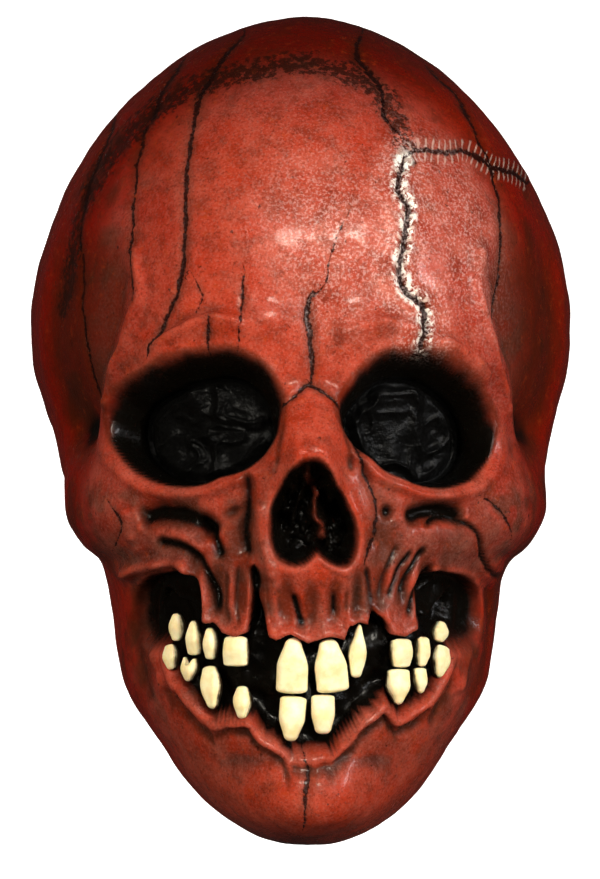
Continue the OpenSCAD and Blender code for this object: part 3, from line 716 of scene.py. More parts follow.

# %% [markdown]
# ## Paint
# A mask like this is cast in red latex, then airbrushed in orange-red and blood red, with black
# in the sockets, the nose, the mouth and the hollows of the cheeks. Painted light and shade go into
# the same colour: orange-red over the raised bone and the front, darker red where the form turns
# away towards the crown, the sides and the back, nearly black in every crease, and a pale painted
# sheen on the forehead and beside the wound. The colour is worked out for each point of the mesh,
# after the cut, from where its ray meets the form.

# %% Places of the mesh's points on the form
def points_of(piece):
    """The piece's points as an array, in metres."""
    places = np.empty(len(piece.data.vertices) * 3, dtype=np.float32)
    piece.data.vertices.foreach_get("co", places)
    return places.reshape(-1, 3).astype(float)


skin_places = points_of(skin) / MM + HEAD
away_from_core = skin_places - CORE
span = np.linalg.norm(away_from_core, axis=1)
way = away_from_core / span[:, None]
form_span = reach(way)
form = CORE + form_span[:, None] * way
px, py, pz = form.T
p_depth, _, p_wash, p_lines = sculpt(px, py, pz)
inside_skin = smooth(1.2, 2.4, form_span - span - p_depth)
print("points:", len(form), "inside:", int((inside_skin > 0.5).sum()))


# %% Colour of each point
def mix(a, b, share):
    """Colour a where share is 0 and b where it is 1."""
    share = np.clip(share, 0, 1)[:, None]
    return np.asarray(a) * (1 - share) + np.asarray(b) * share


ORANGE, BLOOD, DEEP = (0.38, 0.029, 0.002), (0.27, 0.009, 0.001), (0.085, 0.004, 0.001)
BROWN, BLACK, PALE = (0.045, 0.013, 0.003), (0.004, 0.003, 0.002), (0.62, 0.24, 0.19)
pax = np.abs(px)
pfront = 1 - smooth(34, 56, py)
blotch = hills(form, 30, 21)
fine = hills(form, 6, 22)
# Orange-red in front, blood red towards the sides, the crown and the back: the paint's two reds, with painted
# shade where the form turns from the light. Orange over the brow, the nose and the chin is a painted
# highlight.
paint = mix(BLOOD, ORANGE, smooth(95, 25, pax) * smooth(288, 230, pz) * smooth(80, 20, py) + 0.35 * blotch)
paint = mix(paint, DEEP, smooth(48, 88, pax + 0.10 * np.maximum(pz - 190, 0)) * 0.32 + 0.10 * blotch)
paint = mix(paint, DEEP, smooth(246, 284, pz + 8 * blotch) * 0.75)
paint = mix(paint, DEEP, smooth(80, 140, py) * 0.6)
paint = mix(paint, ORANGE, 0.8 * (blob(pax, pz, (30, 176), (26, 8), -8) + blob(px, pz, (0, 140), (9, 22))
                                  + blob(px, pz, (0, 14), (20, 12))) * pfront)
# Brown wash beside the nose, under the sockets and on the gums
sides = (blob(pax, pz, (22, 108), (10, 22)) + blob(pax, pz, (48, 104), (18, 12))
         + 0.7 * blob(px, pz, (0, 84), (46, 9)))
paint = mix(paint, BROWN, (0.75 * sides * (0.75 + 0.5 * fine)) * pfront)
paint = mix(paint, BROWN, 0.5 * blob(pax, pz, (24, 36), (22, 14)) * pfront * (0.8 + 0.6 * fine))
# Painted shade and light: hollows are darker and ridges lighter, from the depth against the smoothed depth
# around
away = np.arccos(np.clip(-way[:, 1], -1, 1))
ring_at = np.round(np.minimum(away / FACE_AWAY, 1) * FACE_RINGS).astype(int)
spoke_at = np.round(np.arctan2(way[:, 2], way[:, 0]) / (2 * math.pi) * SPOKES).astype(int) % SPOKES
local = np.where(ring_at < FACE_RINGS, (depth - relax(depth, 30))[ring_at, spoke_at], 0)
grime = smooth(0.05, 0.55, hills(form, 9, 71)) * smooth(130, 118, pz) * smooth(20, 60, pz) * pfront
paint = mix(paint, BROWN, 0.75 * grime)
paint = mix(paint, DEEP, (0.45 + 0.5 * blotch) * blob(pax, pz, (44, 96), (18, 26)) * pfront)
# Brown mottle that darkens the sides of the face: partly the paint, partly painted shade where the face turns
# from the light
side_mottle_and_shade = smooth(0.15, 0.6, hills(form, 13, 72)) * smooth(52, 66, pax) * smooth(96, 70, py)
paint = mix(paint, BROWN, 0.55 * side_mottle_and_shade)
# Painted shade blackens the hollows; a painted highlight in orange and pale lies on the ridges
paint = mix(paint, BLACK, smooth(0.15, 1.4, local) * 0.92)
paint = mix(paint, ORANGE, smooth(0.2, 1.2, -local) * 0.6)
paint = mix(paint, PALE, smooth(0.5, 1.8, -local) * 0.10)
# Lines with a brown halo, speckled clumps along the suture
crack_width = p_lines["crack_width"]
halo = np.minimum(crack_width, 1) * bump(p_lines["crack"] / (0.6 + 1.3 * crack_width))
paint = mix(paint, BROWN, 0.6 * halo)
clumps = smooth(-0.1, 0.5, hills(form, 3.2, 31)) * bump(p_lines["seam"] / 4.5)
paint = mix(paint, BLACK, 0.45 * clumps + 0.15 * bump(p_lines["seam"] / 6))
paint = mix(paint, BROWN, 0.8 * bump(p_lines["wound"] / 3.0) + 0.6 * bump(p_lines["scar"] / 2.6))
# Painted sheen: soft pale patches of painted highlight on the forehead and a band on each side of the wound
painted_sheen = (0.40 * blob(px, pz, (8, 210), (22, 30), 20) + 0.5 * bump((p_lines["wound"] - 7) / 6)
         + 0.5 * bump((p_lines["wound"] + 7) / 6) + 0.35 * blob(px, pz, (54, 212), (12, 34), 12)) * pfront
paint = mix(paint, PALE, np.clip(painted_sheen, 0, 0.8) * (0.65 + 0.35 * fine) * (1 - bump(p_lines["wound"] / 1.8)))
p_wash = np.clip(p_wash, 0, 1)
paint = mix(paint, BLACK, smooth(0.25, 0.85, p_wash + 0.12 * fine))
paint = mix(paint, BROWN, 0.55 * smooth(0.02, 0.4, p_wash) * (1 - smooth(0.4, 0.8, p_wash)))
paint = mix(paint, (0.16, 0.03, 0.02), inside_skin * (1 - smooth(0.4, 0.8, p_wash)))
paint = np.clip(paint, 0, 1)


def colour_attribute(piece, name, values):
    """Stores a colour for each point."""
    rgba = np.concatenate([values, np.ones((len(values), 1))], 1).astype(np.float32)
    piece.data.attributes.new(name, "FLOAT_COLOR", "POINT").data.foreach_set("color", rgba.ravel())


def number_attribute(piece, name, values):
    """Stores a number for each point."""
    piece.data.attributes.new(name, "FLOAT", "POINT").data.foreach_set("value", values.astype(np.float32))


colour_attribute(skin, "paint", paint)
shown = 1 - inside_skin
for key in ("crack", "seam", "wound", "scar"):
    number_attribute(skin, key, p_lines[key])
    number_attribute(skin, key + "_near", np.clip(1 - np.abs(p_lines[key]) / 6, 0, 1) * shown)
for key in ("crack_width", "wound_along", "scar_along"):
    number_attribute(skin, key, p_lines[key])
# The painted sheen and the wound's sides as a number: it places painted glints and lowers the roughness
number_attribute(skin, "sheen_and_gloss", np.clip(painted_sheen + 0.5 * bump((np.abs(p_lines["wound"]) - 3) / 2.5), 0, 1) * shown)
number_attribute(skin, "dark", p_wash)
print("paint: average", paint.mean(0).round(3))


# %% [markdown]
# ## Materials
# Each material is one principled shader fed by noise in the object's own coordinates. A painter adds
# nodes to one material, sets their plain inputs and links the others. Numbers and outputs of nodes
# can be mixed freely, so that a recipe reads like a formula.

# %% Painter
class Painter:
    """One material with a principled shader, and the nodes that feed it."""

    def __init__(self, name, **settings):
        """Settings are numbers or colours put straight on the shader's sockets."""
        self.material = bpy.data.materials.new(name)
        self.material.use_nodes = True
        self.tree = self.material.node_tree
        self.shader = self.tree.nodes["Principled BSDF"]
        for key, value in settings.items():
            self.shader.inputs[key.replace("_", " ")].default_value = value
        self.place = self.add("TexCoord", output=3)

    def add(self, kind, inputs=(), output=0, **settings):
        """A new node's output. inputs maps a socket's number to a value or to another output."""
        node = self.tree.nodes.new("ShaderNode" + kind)
        for key, value in settings.items():
            setattr(node, key, value)
        for at, value in dict(inputs).items():
            if isinstance(value, bpy.types.NodeSocket):
                self.tree.links.new(value, node.inputs[at])
            else:
                node.inputs[at].default_value = value
        return node.outputs[output]

    def math(self, kind, a, b=0.0, clamp=False):
        """a and b put together by a math node of this kind."""
        return self.add("Math", {0: a, 1: b}, operation=kind, use_clamp=clamp)

    def times(self, first, *others):
        """All the values multiplied."""
        for value in others:
            first = self.math("MULTIPLY", first, value)
        return first

    def plus(self, a, b):
        """a + b."""
        return self.math("ADD", a, b)

    def less(self, a, b, clamp=False):
        """a - b, kept from 0 to 1 if clamp is on."""
        return self.math("SUBTRACT", a, b, clamp)

    def most(self, a, b):
        """The larger of a and b."""
        return self.math("MAXIMUM", a, b)

    def size(self, a):
        """a without its sign."""
        return self.math("ABSOLUTE", a)

    def noise(self, scale, detail=3.0, rough=0.55):
        """Noise with features about 1 / scale metres apart."""
        return self.add("TexNoise", {0: self.place, 2: scale, 3: detail, 4: rough})

    def step(self, value, low, high):
        """0 below low, 1 above high, smooth between."""
        return self.add("MapRange", {0: value, 1: low, 2: high, 3: 0.0, 4: 1.0},
                        interpolation_type="SMOOTHSTEP")

    def fade(self, share, a, b):
        """Colour a where share is 0, b where it is 1."""
        a, b = (c + (1,) if isinstance(c, tuple) else c for c in (a, b))
        return self.add("Mix", {0: share, 6: a, 7: b}, output=2, data_type="RGBA")

    def attribute(self, name, output=2):
        """A named attribute of the mesh: output 0 is its colour and 2 its number."""
        return self.add("Attribute", output=output, attribute_name=name)

    def feed(self, value, name):
        """Links a value to the shader's input of this name."""
        self.tree.links.new(value, self.shader.inputs[name])

    def bumps(self, height, distance):
        """Lets height, in parts of distance in metres, tilt the shader's surface."""
        self.feed(self.add("Bump", {0: 1.0, 1: distance, 3: height}), "Normal")


# %% Painted latex
m = Painter("painted_latex", IOR=1.36, Specular_IOR_Level=0.34, Coat_Weight=0.12, Coat_Roughness=0.08,
            Subsurface_Weight=0.04, Subsurface_Scale=0.002)
grain, patch, pores = m.noise(700.0, 4.0, 0.6), m.noise(160.0, 5.0, 0.6), m.noise(1100.0, 3.0, 0.6)
mottle, specks, flakes = m.noise(260.0, 5.0, 0.7), m.noise(420.0, 2.0, 0.5), m.noise(420.0, 4.0, 0.7)
clean = m.less(1.0, m.attribute("dark"), True)
colour = m.attribute("paint", 0)
for texture, low, high, share, tint in (
        (patch, 0.40, 0.72, m.times(clean, 0.42), (0.06, 0.012, 0.003)),
        (pores, 0.50, 0.68, m.times(clean, 0.40), (0.06, 0.010, 0.003)),
        (mottle, 0.56, 0.70, m.times(clean, 0.35), (0.42, 0.070, 0.012)),
        (specks, 0.70, 0.76, 0.7, (0.03, 0.008, 0.005)),
        (grain, 0.58, 0.74, m.times(clean, 0.06), (0.75, 0.20, 0.08))):
    colour = m.fade(m.times(m.step(texture, low, high), share), colour, tint)
ragged = m.times(m.less(m.noise(520.0, 4.0, 0.75), 0.5), 3.0)


def line_mask(name, half, soft):
    """1 on the line and 0 more than half a width and soft from it, both in mm, with a ragged edge."""
    off = m.less(m.plus(m.size(m.attribute(name)), ragged), half)
    return m.times(m.step(m.attribute(name + "_near"), 0.55, 0.65), m.less(1.0, m.step(off, 0.0, soft)))


def stitches(name, reach_mm, gap):
    """Short strokes across a line: a wave along it, only within reach_mm of it."""
    wave = m.math("COSINE", m.times(m.attribute(name + "_along"), 2 * math.pi / gap))
    wave = m.step(m.plus(wave, m.times(ragged, 0.7)), 0.35, 0.85)
    far = m.step(m.size(m.attribute(name)), reach_mm - 1.2, reach_mm)
    return m.times(wave, m.step(m.attribute(name + "_near"), 0.15, 0.3), m.less(1.0, far))


wound_line = line_mask("wound", 0.5, 0.6)
crack_line = line_mask("crack", m.less(m.times(m.attribute("crack_width"), 0.5), 0.20), 0.4)
line = m.most(crack_line, m.most(wound_line, line_mask("scar", 0.45, 0.6)))
clump = m.step(m.less(flakes, m.times(m.size(m.attribute("seam")), 0.03)), 0.37, 0.46)
ticks = m.most(stitches("wound", 3.6, 4.2), m.times(stitches("scar", 4.5, 2.6), 0.6))
# Painted glints: pale flecks where the painted sheen lies
glint = m.times(m.step(m.noise(1000.0, 3.0, 0.7), 0.46, 0.64), clean, m.step(m.attribute("sheen_and_gloss"), 0.12, 0.75))
# Painted glints: white flecks close along both sides of the wound
wound_glints = m.times(m.step(flakes, 0.50, 0.56), clean, m.step(m.attribute("wound_near"), 0.25, 0.6))
for share, tint in (
        (m.times(clump, m.step(m.attribute("seam_near"), 0.02, 0.4), 0.8), (0.020, 0.006, 0.003)),
        (m.times(line, 0.9), (0.016, 0.004, 0.003)),
        (m.times(ticks, m.less(1.0, line), 0.55), (0.80, 0.70, 0.64)),
        (m.times(glint, 0.42), (0.80, 0.62, 0.62)),
        (m.times(wound_glints, m.less(1.0, wound_line), 0.85), (0.92, 0.90, 0.88))):
    colour = m.fade(share, colour, tint)
m.feed(colour, "Base Color")
rough = m.less(m.plus(0.16, m.times(patch, 0.22)), m.times(m.attribute("sheen_and_gloss"), 0.10))
m.feed(m.plus(rough, m.times(m.attribute("dark"), 0.03)), "Roughness")
height = m.less(m.plus(grain, m.times(patch, 1.5)), m.times(line, 1.6))
m.bumps(m.plus(height, m.times(ticks, 0.9)), 0.00028)
latex = m.material


# %% Ivory resin
m = Painter("ivory_resin", IOR=1.42, Coat_Weight=0.1, Coat_Roughness=0.25,
            Subsurface_Weight=0.15, Subsurface_Scale=0.003)
mottle = m.noise(240.0, 4.0, 0.6)
colour = m.fade(m.step(mottle, 0.35, 0.7), (0.93, 0.87, 0.62), (0.84, 0.72, 0.42))
dirty = m.step(m.plus(m.attribute("stain"), m.times(m.less(mottle, 0.5), 0.9)), 0.45, 0.95)
m.feed(m.fade(dirty, colour, (0.03, 0.018, 0.008)), "Base Color")
m.feed(m.plus(0.34, m.times(mottle, 0.2)), "Roughness")
m.bumps(mottle, 0.00015)
ivory = m.material


# %% Other materials
def plain(name, base, grain_scale, grain_height, tint, **settings):
    """A material whose colour and surface vary a little with noise."""
    painter = Painter(name, **settings)
    spots = painter.noise(grain_scale, 4.0, 0.6)
    dark = tuple(c * (1 - 2 * tint) for c in base)
    light_one = tuple(min(1, c * (1 + 2 * tint)) for c in base)
    painter.feed(painter.fade(spots, dark, light_one), "Base Color")
    if grain_height:
        painter.bumps(spots, grain_height)
    return painter.material


MATERIALS = {
    "latex": latex,
    "tooth": ivory,
    "foam": plain("black_foam", (0.035, 0.035, 0.04), 1500, 0.0006, 0.3, Roughness=0.95),
    "rubber": plain("black_rubber", (0.03, 0.03, 0.03), 900, 0.0001, 0.1, Roughness=0.6),
    "stud_metal": plain("stud_metal", (0.62, 0.60, 0.55), 300, 0.00003, 0.05, Roughness=0.28, Metallic=1.0),
    "buckle": plain("black_acetal", (0.02, 0.02, 0.022), 1200, 0.00004, 0.1, Roughness=0.38),
    "gauze": plain("glazed_gauze", (0.004, 0.004, 0.004), 520, 0.0008, 0.4, Roughness=0.34, IOR=1.4),
    "elastic": plain("woven_elastic", (0.018, 0.018, 0.02), 2600, 0.00025, 0.3, Roughness=0.85)}


def finish(piece, body, slot, node):
    """The piece takes its slot's material, rides on a body and stands for one solid."""
    piece.data.materials.clear()
    piece.data.materials.append(MATERIALS[slot])
    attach(piece, body)
    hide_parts(node)


finish(skin, "mask", "latex", "latex_shell")
print("materials:", len(bpy.data.materials))


# %% [markdown]
# ## Gauze cups
# Behind each socket a piece of gauze stiffened with black varnish keeps the wearer's eyes from
# being seen. It is crumpled, so its folds catch the light. Its rim is glued into the latex.

# %% Eye cups
CUP_DEEP, GAUZE = 17.2, 0.8   # how deep the gauze lies, and how thick it is


def crumple(places):
    """Sharp folds: one less the size of random hills, sharpened by a power, at two sizes."""
    places = places + 5 * np.stack([noise(places, 12, seed) for seed in (44, 45, 46)], -1)
    big = 1 - np.abs(noise(places, 11, 41) * 1.6)
    small = 1 - np.abs(noise(places, 5.5, 42) * 1.6)
    return np.clip(big, 0, 1) ** 1.5 + 0.4 * np.clip(small, 0, 1) ** 1.5


def in_the_latex(side, z, ratio):
    """Depth of the middle of the latex around a socket's opening, where the gauze is glued in."""
    upper = smooth(-12, 10, z - SOCKETS[side][0][1])
    return SOCKET_FLOOR * (1 - smooth(0.95 - 0.04 * upper, 1.04 + 0.14 * upper, ratio)) + 1.2


for side, word in ((-1, "right"), (1, "left")):
    ratio = np.concatenate([np.linspace(1.0, 0.93, 8), np.linspace(0.92, 0.02, 63)])
    x, z = socket_ring(side, ratio, 160)
    place = np.stack([x, np.zeros(x.shape), z], -1)
    free = smooth(0.93, 0.74, ratio)[:, None]
    deep = CUP_DEEP - 3.8 * free * crumple(place) + 1.5 * free * hills(place, 16, 43)
    glued = smooth(0.92, 0.95, ratio)[:, None]
    deep = deep * (1 - glued) + in_the_latex(side, z, ratio[:, None]) * glued
    both_faces = np.concatenate([below(x, z, deep + GAUZE)[::-1], below(x, z, deep)])
    cup = closed_grid(word + "_gauze", both_faces[:, ::side])
    finish(cup, "mask", "gauze", word + "_eye_cup")


# %% [markdown]
# ## Teeth
# The teeth are cast separately in ivory-coloured resin and pushed into the gums. Each is a crown
# with a rounded biting edge, a belly in front and a narrower neck, set at its own place and lean.

# %% Table of teeth
TEETH = [
    # name, x, z, width, height, width share at the root, at the edge, lean in degrees
    ("upper_right_incisor", -6.3, 62.1, 11.2, 19.6, .5, 1, 2),
    ("upper_right_premolar_1", -25.8, 67.2, 9.5, 10.9, .9, .95, 0),
    ("upper_right_premolar_2", -34.4, 69.8, 5.6, 11.2, .6, .75, 0),
    ("upper_right_molar_1", -40, 71.7, 6, 12.3, .4, .85, 0),
    ("upper_right_molar_2", -45.9, 75.4, 5.6, 9.8, .5, .6, 0),
    ("upper_left_incisor", 6.9, 62.1, 11.6, 18.9, .55, 1, -6),
    ("upper_left_canine", 16.2, 67.3, 6.7, 18.9, .25, .6, 4),
    ("upper_left_premolar", 31.5, 66.5, 8.4, 10.2, .95, .8, 0),
    ("upper_left_molar_1", 38.9, 67, 6, 10.5, .85, .6, 4),
    ("upper_left_molar_2", 45.2, 73.9, 6.5, 7.4, .5, .6, 14),
    ("lower_right_incisor", -6.4, 43.7, 9.5, 16, .5, 1, 4),
    ("lower_right_canine", -23.5, 49.3, 7, 11.6, .5, .6, 0),
    ("lower_right_premolar", -34.2, 54.5, 7.7, 15.1, .45, .7, -6),
    ("lower_right_molar_1", -41.6, 60.8, 6.3, 8.8, .4, .9, 6),
    ("lower_right_molar_2", -47.9, 64.9, 5.6, 9.1, .5, .7, -10),
    ("lower_left_incisor", 4.3, 45.2, 8.4, 14, .65, 1, 0),
    ("lower_left_premolar", 30.6, 54.7, 8.8, 12.6, .3, 1, 0),
    ("lower_left_molar_1", 38, 56.8, 5.6, 9.1, .5, 1, 0),
    ("lower_left_molar_2", 45.5, 63.4, 7, 11.5, .4, .8, 14)]
PROUD, BITE = 1.2, 8.4     # how far a tooth stands out in front of the form, and its depth
CHIPPED = "lower_right_molar_1"
TOOTH_ROWS, TOOTH_SPOKES = 34, 48
AROUND = np.linspace(0, 2 * math.pi, TOOTH_SPOKES, endpoint=False)[None]
SQUARE = 3.2               # how squarish a tooth is from above


def crown(width, bite, height, root, edge, up, seed, chip):
    """A tooth's points in mm, rows from root to edge: its width swells from the root's share
    to the edge's, both ends are rounded off, and cross-sections are squarish."""
    v = np.linspace(0, 1, TOOTH_ROWS)[:, None]
    v = v - 0.48 * np.sin(2 * math.pi * v) / (2 * math.pi)   # rows closer together at both ends
    shape = root + (1 - root) * smooth(0, 0.55, v) + (edge - 1) * smooth(0.6, 1, v)
    round_off = (1 - np.clip(1 - v / 0.14, 0, 1) ** 2.4) ** 0.5
    round_off = np.maximum(round_off * (1 - np.clip((v - 0.90) / 0.10, 0, 1) ** 2.6) ** 0.4, 0.03)
    c, s = np.cos(AROUND), np.sin(AROUND)
    norm = (np.abs(c) ** SQUARE + np.abs(s) ** SQUARE) ** (-1 / SQUARE)
    x = shape * round_off * width / 2 * norm * c
    thick = 0.62 + 0.38 * smooth(0, 0.45, v) - 0.42 * smooth(0.5, 1, v)
    y = thick * round_off * bite / 2 * norm * s
    z = up * ((v - 0.5) * -height + chip * bump(x / 1.3) * smooth(0.6, 1, v))
    places = np.stack([x, y, z], -1)
    swell = 0.18 * hills(places + 50 * seed, 5, 51)
    swell += 0.10 * np.cos(4 * math.pi * x / width) * smooth(0.5, 1, v)
    return places + swell[..., None] * np.stack([0.4 * c, s, 0 * c], -1)


# Dark glue at the root, at both sides and behind
v = np.linspace(0, 1, TOOTH_ROWS)[:, None]
stain = smooth(0.14, 0.0, v) * 0.8 + smooth(0.80, 1.0, np.abs(np.cos(AROUND))) * 0.75
stain = np.clip(stain + smooth(0.0, 0.5, np.sin(AROUND)), 0, 1)
for seed, (name, x, z, width, height, root, edge, lean) in enumerate(TEETH):
    up = 1 if name.startswith("upper") else -1
    spin, tip = float(face_turn(x, z)), math.radians(lean)
    bite = BITE * (1 - 0.5 * abs(math.sin(spin)))
    across = (width - 0.45 * bite * abs(math.sin(spin))) / math.cos(spin)
    shape = crown(across, bite, height, root, edge, up, seed, 3.0 if name == CHIPPED else 0.0)
    lx, ly, lz = (shape[..., k] for k in range(3))
    lx, lz = turned(lx, lz, -tip)
    lx, ly = turned(lx, ly, spin)
    centre = np.array([x, face_y(x, z) + bite / 2 - PROUD, z + 0.5])
    points = (centre + np.stack([lx, ly, lz], -1) - HEAD) * MM
    tooth = closed_grid(name + "_crown", points[:, ::up], facts={"stain": stain[:, ::up]})
    finish(tooth, "mask", "tooth", name)
print("teeth:", len(TEETH))


# %% [markdown]
# ## Foam pads
# Four foam pads glued inside keep the mask off the wearer's skin. Each has a rounded outline,
# is thickest in the middle, and its outer face follows the latex.

# %% Pads
OUTER_ROWS = 26   # rows of points on the face that is glued to the latex


def squarish(a):
    """How far a squarish round outline reaches at angle a, for half sizes of 1."""
    return (np.abs(np.cos(a)) ** 2.3 + np.abs(np.sin(a)) ** 2.3) ** (-1 / 2.3)


def pad(word, middle, half, thick):
    """A foam pad, thick mm at its middle. middle and half are the turn about the nose's axis and
    the angle away from it, in degrees, of the middle and of half the pad."""
    a = np.linspace(0, 2 * math.pi, 120, endpoint=False)[None]
    s = np.concatenate([np.linspace(0.02, 1, OUTER_ROWS), np.linspace(1, 0.02, 40)])[:, None]
    turns = np.radians(middle[0] + half[0] * s * squarish(a) * np.cos(a))
    aways = np.radians(middle[1] - half[1] * s * squarish(a) * np.sin(a))
    d = np.stack([np.sin(aways) * np.cos(turns), -np.cos(aways), np.sin(aways) * np.sin(turns)], -1)
    far = reach(d)
    p = CORE + far[..., None] * d
    _, sunk, _, _ = sculpt(p[..., 0], p[..., 1], p[..., 2])
    sunk = float(sunk.max())
    front_side = (np.arange(len(s)) >= OUTER_ROWS)[:, None]
    lift = np.where(front_side, thick * np.sqrt(np.maximum(1 - 0.97 * s ** 4, 0)), 0)
    lift = lift + 0.35 * hills(p, 6, 61) * smooth(1, 0.9, s) * front_side
    points = CORE + (far - sunk - WALL - 0.5 - lift)[..., None] * d
    piece = closed_grid(word + "_foam", (points - HEAD) * MM)
    finish(piece, "mask", "foam", word + "_pad")


pad("brow", (90, 46), (24, 8), 11)
pad("crown", (90, 93), (22, 10), 13)
pad("left_temple", (28, 60), (11, 9), 8)
pad("right_temple", (152, 60), (11, 9), 8)


# %% [markdown]
# ## Strap
# The strap is one length of black woven elastic. It runs along the inside of the shell from one
# stud, round the back of the head, to the other stud, and its spare tail is folded back inside it.
# Its line is two straight stretches, two corners and a wide arc. Cords run along the weave.

# %% The strap's line
STRAP_Z, STUD_Y, FLAT_X, BEND_Y, BACK_R = 165, 100, 83, 126, 120
BACK_A = math.radians(18)
STRAP_W, STRAP_T = 25, 1.6
STRAIGHT = 60        # length kept of the straight stretch before each bend
BAND_COLUMNS = 48    # points across one face of a band
CORNER_R = (FLAT_X - BACK_R * math.sin(BACK_A)) / (1 - math.sin(BACK_A))
BACK_Y = BEND_Y + (CORNER_R - BACK_R) * math.cos(BACK_A)


def strap_path(start, end, count):
    """Places and outward directions evenly along the strap's line. start and end are lengths in
    mm from the left bend; below 0 they lie on the straight stretch to the left stud."""
    turn_left = np.linspace(0, math.pi / 2 - BACK_A, 60)
    over = np.linspace(math.pi / 2 - BACK_A, math.pi / 2 + BACK_A, 60)
    corner = FLAT_X - CORNER_R
    parts = [(np.array([[FLAT_X, BEND_Y - STRAIGHT]]), np.array([[1, 0]]))]
    for angles, centre, radius in ((turn_left, (corner, BEND_Y), CORNER_R), (over, (0, BACK_Y), BACK_R),
                                   (math.pi - turn_left[::-1], (-corner, BEND_Y), CORNER_R)):
        out = np.stack([np.cos(angles), np.sin(angles)], -1)
        parts.append((np.array(centre) + radius * out, out))
    parts.append((np.array([[-FLAT_X, BEND_Y - STRAIGHT]]), np.array([[-1, 0]])))
    place, out = (np.concatenate(k) for k in zip(*parts))
    run = np.concatenate([[0], np.cumsum(np.hypot(*np.diff(place, axis=0).T))]) - STRAIGHT
    at = np.linspace(start, end, count)
    return at, np.stack([np.interp(at, run, place[:, k]) for k in (0, 1)], -1), \
        np.stack([np.interp(at, run, out[:, k]) for k in (0, 1)], -1), run[-1] - STRAIGHT


_, _, _, BENDS = strap_path(0, 1, 2)
print("between the studs:", round(float(BENDS + 2 * (BEND_Y - STUD_Y))), "mm")


def band(name, start, end, inset, half_width, count, round_ends=False):
    """A woven band along the strap's line: rounded edges, and cords along both faces."""
    at, place, out, _ = strap_path(start, end, count)
    w = np.full(count, half_width)
    if round_ends:
        off = np.maximum(np.maximum(start + half_width - at, at - (end - half_width)), 0) / half_width
        w = half_width * np.sqrt(np.maximum(1 - off ** 2, 0.0004))
    t = np.linspace(-1, 1, BAND_COLUMNS)
    cords = 0.10 * (np.abs(np.sin(t * math.pi * 9)) ** 0.6 - 1)
    edge = np.sqrt(np.maximum(1 - np.clip((np.abs(t) - 0.94) / 0.06, 0, 1) ** 2, 0.04))
    outer_depth = inset + (1 - edge) * STRAP_T / 2 - cords * edge
    inner_depth = inset + STRAP_T - (1 - edge) * STRAP_T / 2 + cords * edge
    v = np.concatenate([t, t[::-1]])
    d = np.concatenate([outer_depth, inner_depth[::-1]])
    face = np.where(np.arange(len(v)) < BAND_COLUMNS, 1, -1)
    ripple = 0.05 * np.sin(at * 2 * math.pi / 1.9)[:, None] * face
    xy = place[:, None] - out[:, None] * (d[None] - ripple)[..., None]
    zz = STRAP_Z + w[:, None] * v[None]
    return closed_grid(name, (np.concatenate([xy, zz[..., None]], -1) - HEAD) * MM)


strap_start = -(BEND_Y - STUD_Y) - STRAP_W / 2
strap = band("elastic_band", strap_start, BENDS - strap_start, 0, STRAP_W / 2, 520, True)
tail = band("elastic_tail", 0, CORNER_R * (math.pi / 2 - BACK_A) + 2 * BACK_R * BACK_A, STRAP_T + 0.02,
            STRAP_W / 2 - 0.5, 330)


# %% [markdown]
# ## Studs, caps, eyelets and adjuster
# The turned metal parts are profiles spun about the stud's axis. The adjuster is a curved frame
# with two windows, cut from one solid and with its edges eased, as a moulded buckle has.

# %% Turned parts
SPUN = 72   # points round a turned part


def spin_profile(name, side, profile, ring=False):
    """Spins places (distance out along the stud's axis, radius), in mm, about that axis. A ring's
    profile is joined to itself."""
    h, r = np.array(profile, float).T[:, :, None]
    a = np.linspace(0, 2 * math.pi, SPUN, endpoint=False)[None]
    points = np.stack([side * (h + 0 * a), STUD_Y + r * np.cos(a), STRAP_Z + r * np.sin(a)], -1)
    points = (points - HEAD)[:, ::side] * MM
    if ring:
        return mesh_piece(name, points.reshape(-1, 3), quads(len(h) + 1, SPUN) % (len(h) * SPUN))
    return closed_grid(name, points)


def rod(name, side, start, end, radius):
    """A plain rod on the stud's axis."""
    return spin_profile(name, side, [(start, 0.02), (start, radius), (end, radius), (end, 0.02)])


def rounded(corners, radius, steps=5):
    """A closed profile whose corners are rounded by radius."""
    c = np.array(corners, float)
    result = []
    for before, here, after in zip(np.roll(c, 1, 0), c, np.roll(c, -1, 0)):
        a = here + (before - here) / np.linalg.norm(before - here) * radius
        b = here + (after - here) / np.linalg.norm(after - here) * radius
        t = np.linspace(0, 1, steps)[:, None]
        result.append(a * (1 - t) ** 2 + 2 * here * t * (1 - t) + b * t ** 2)
    return np.concatenate(result)


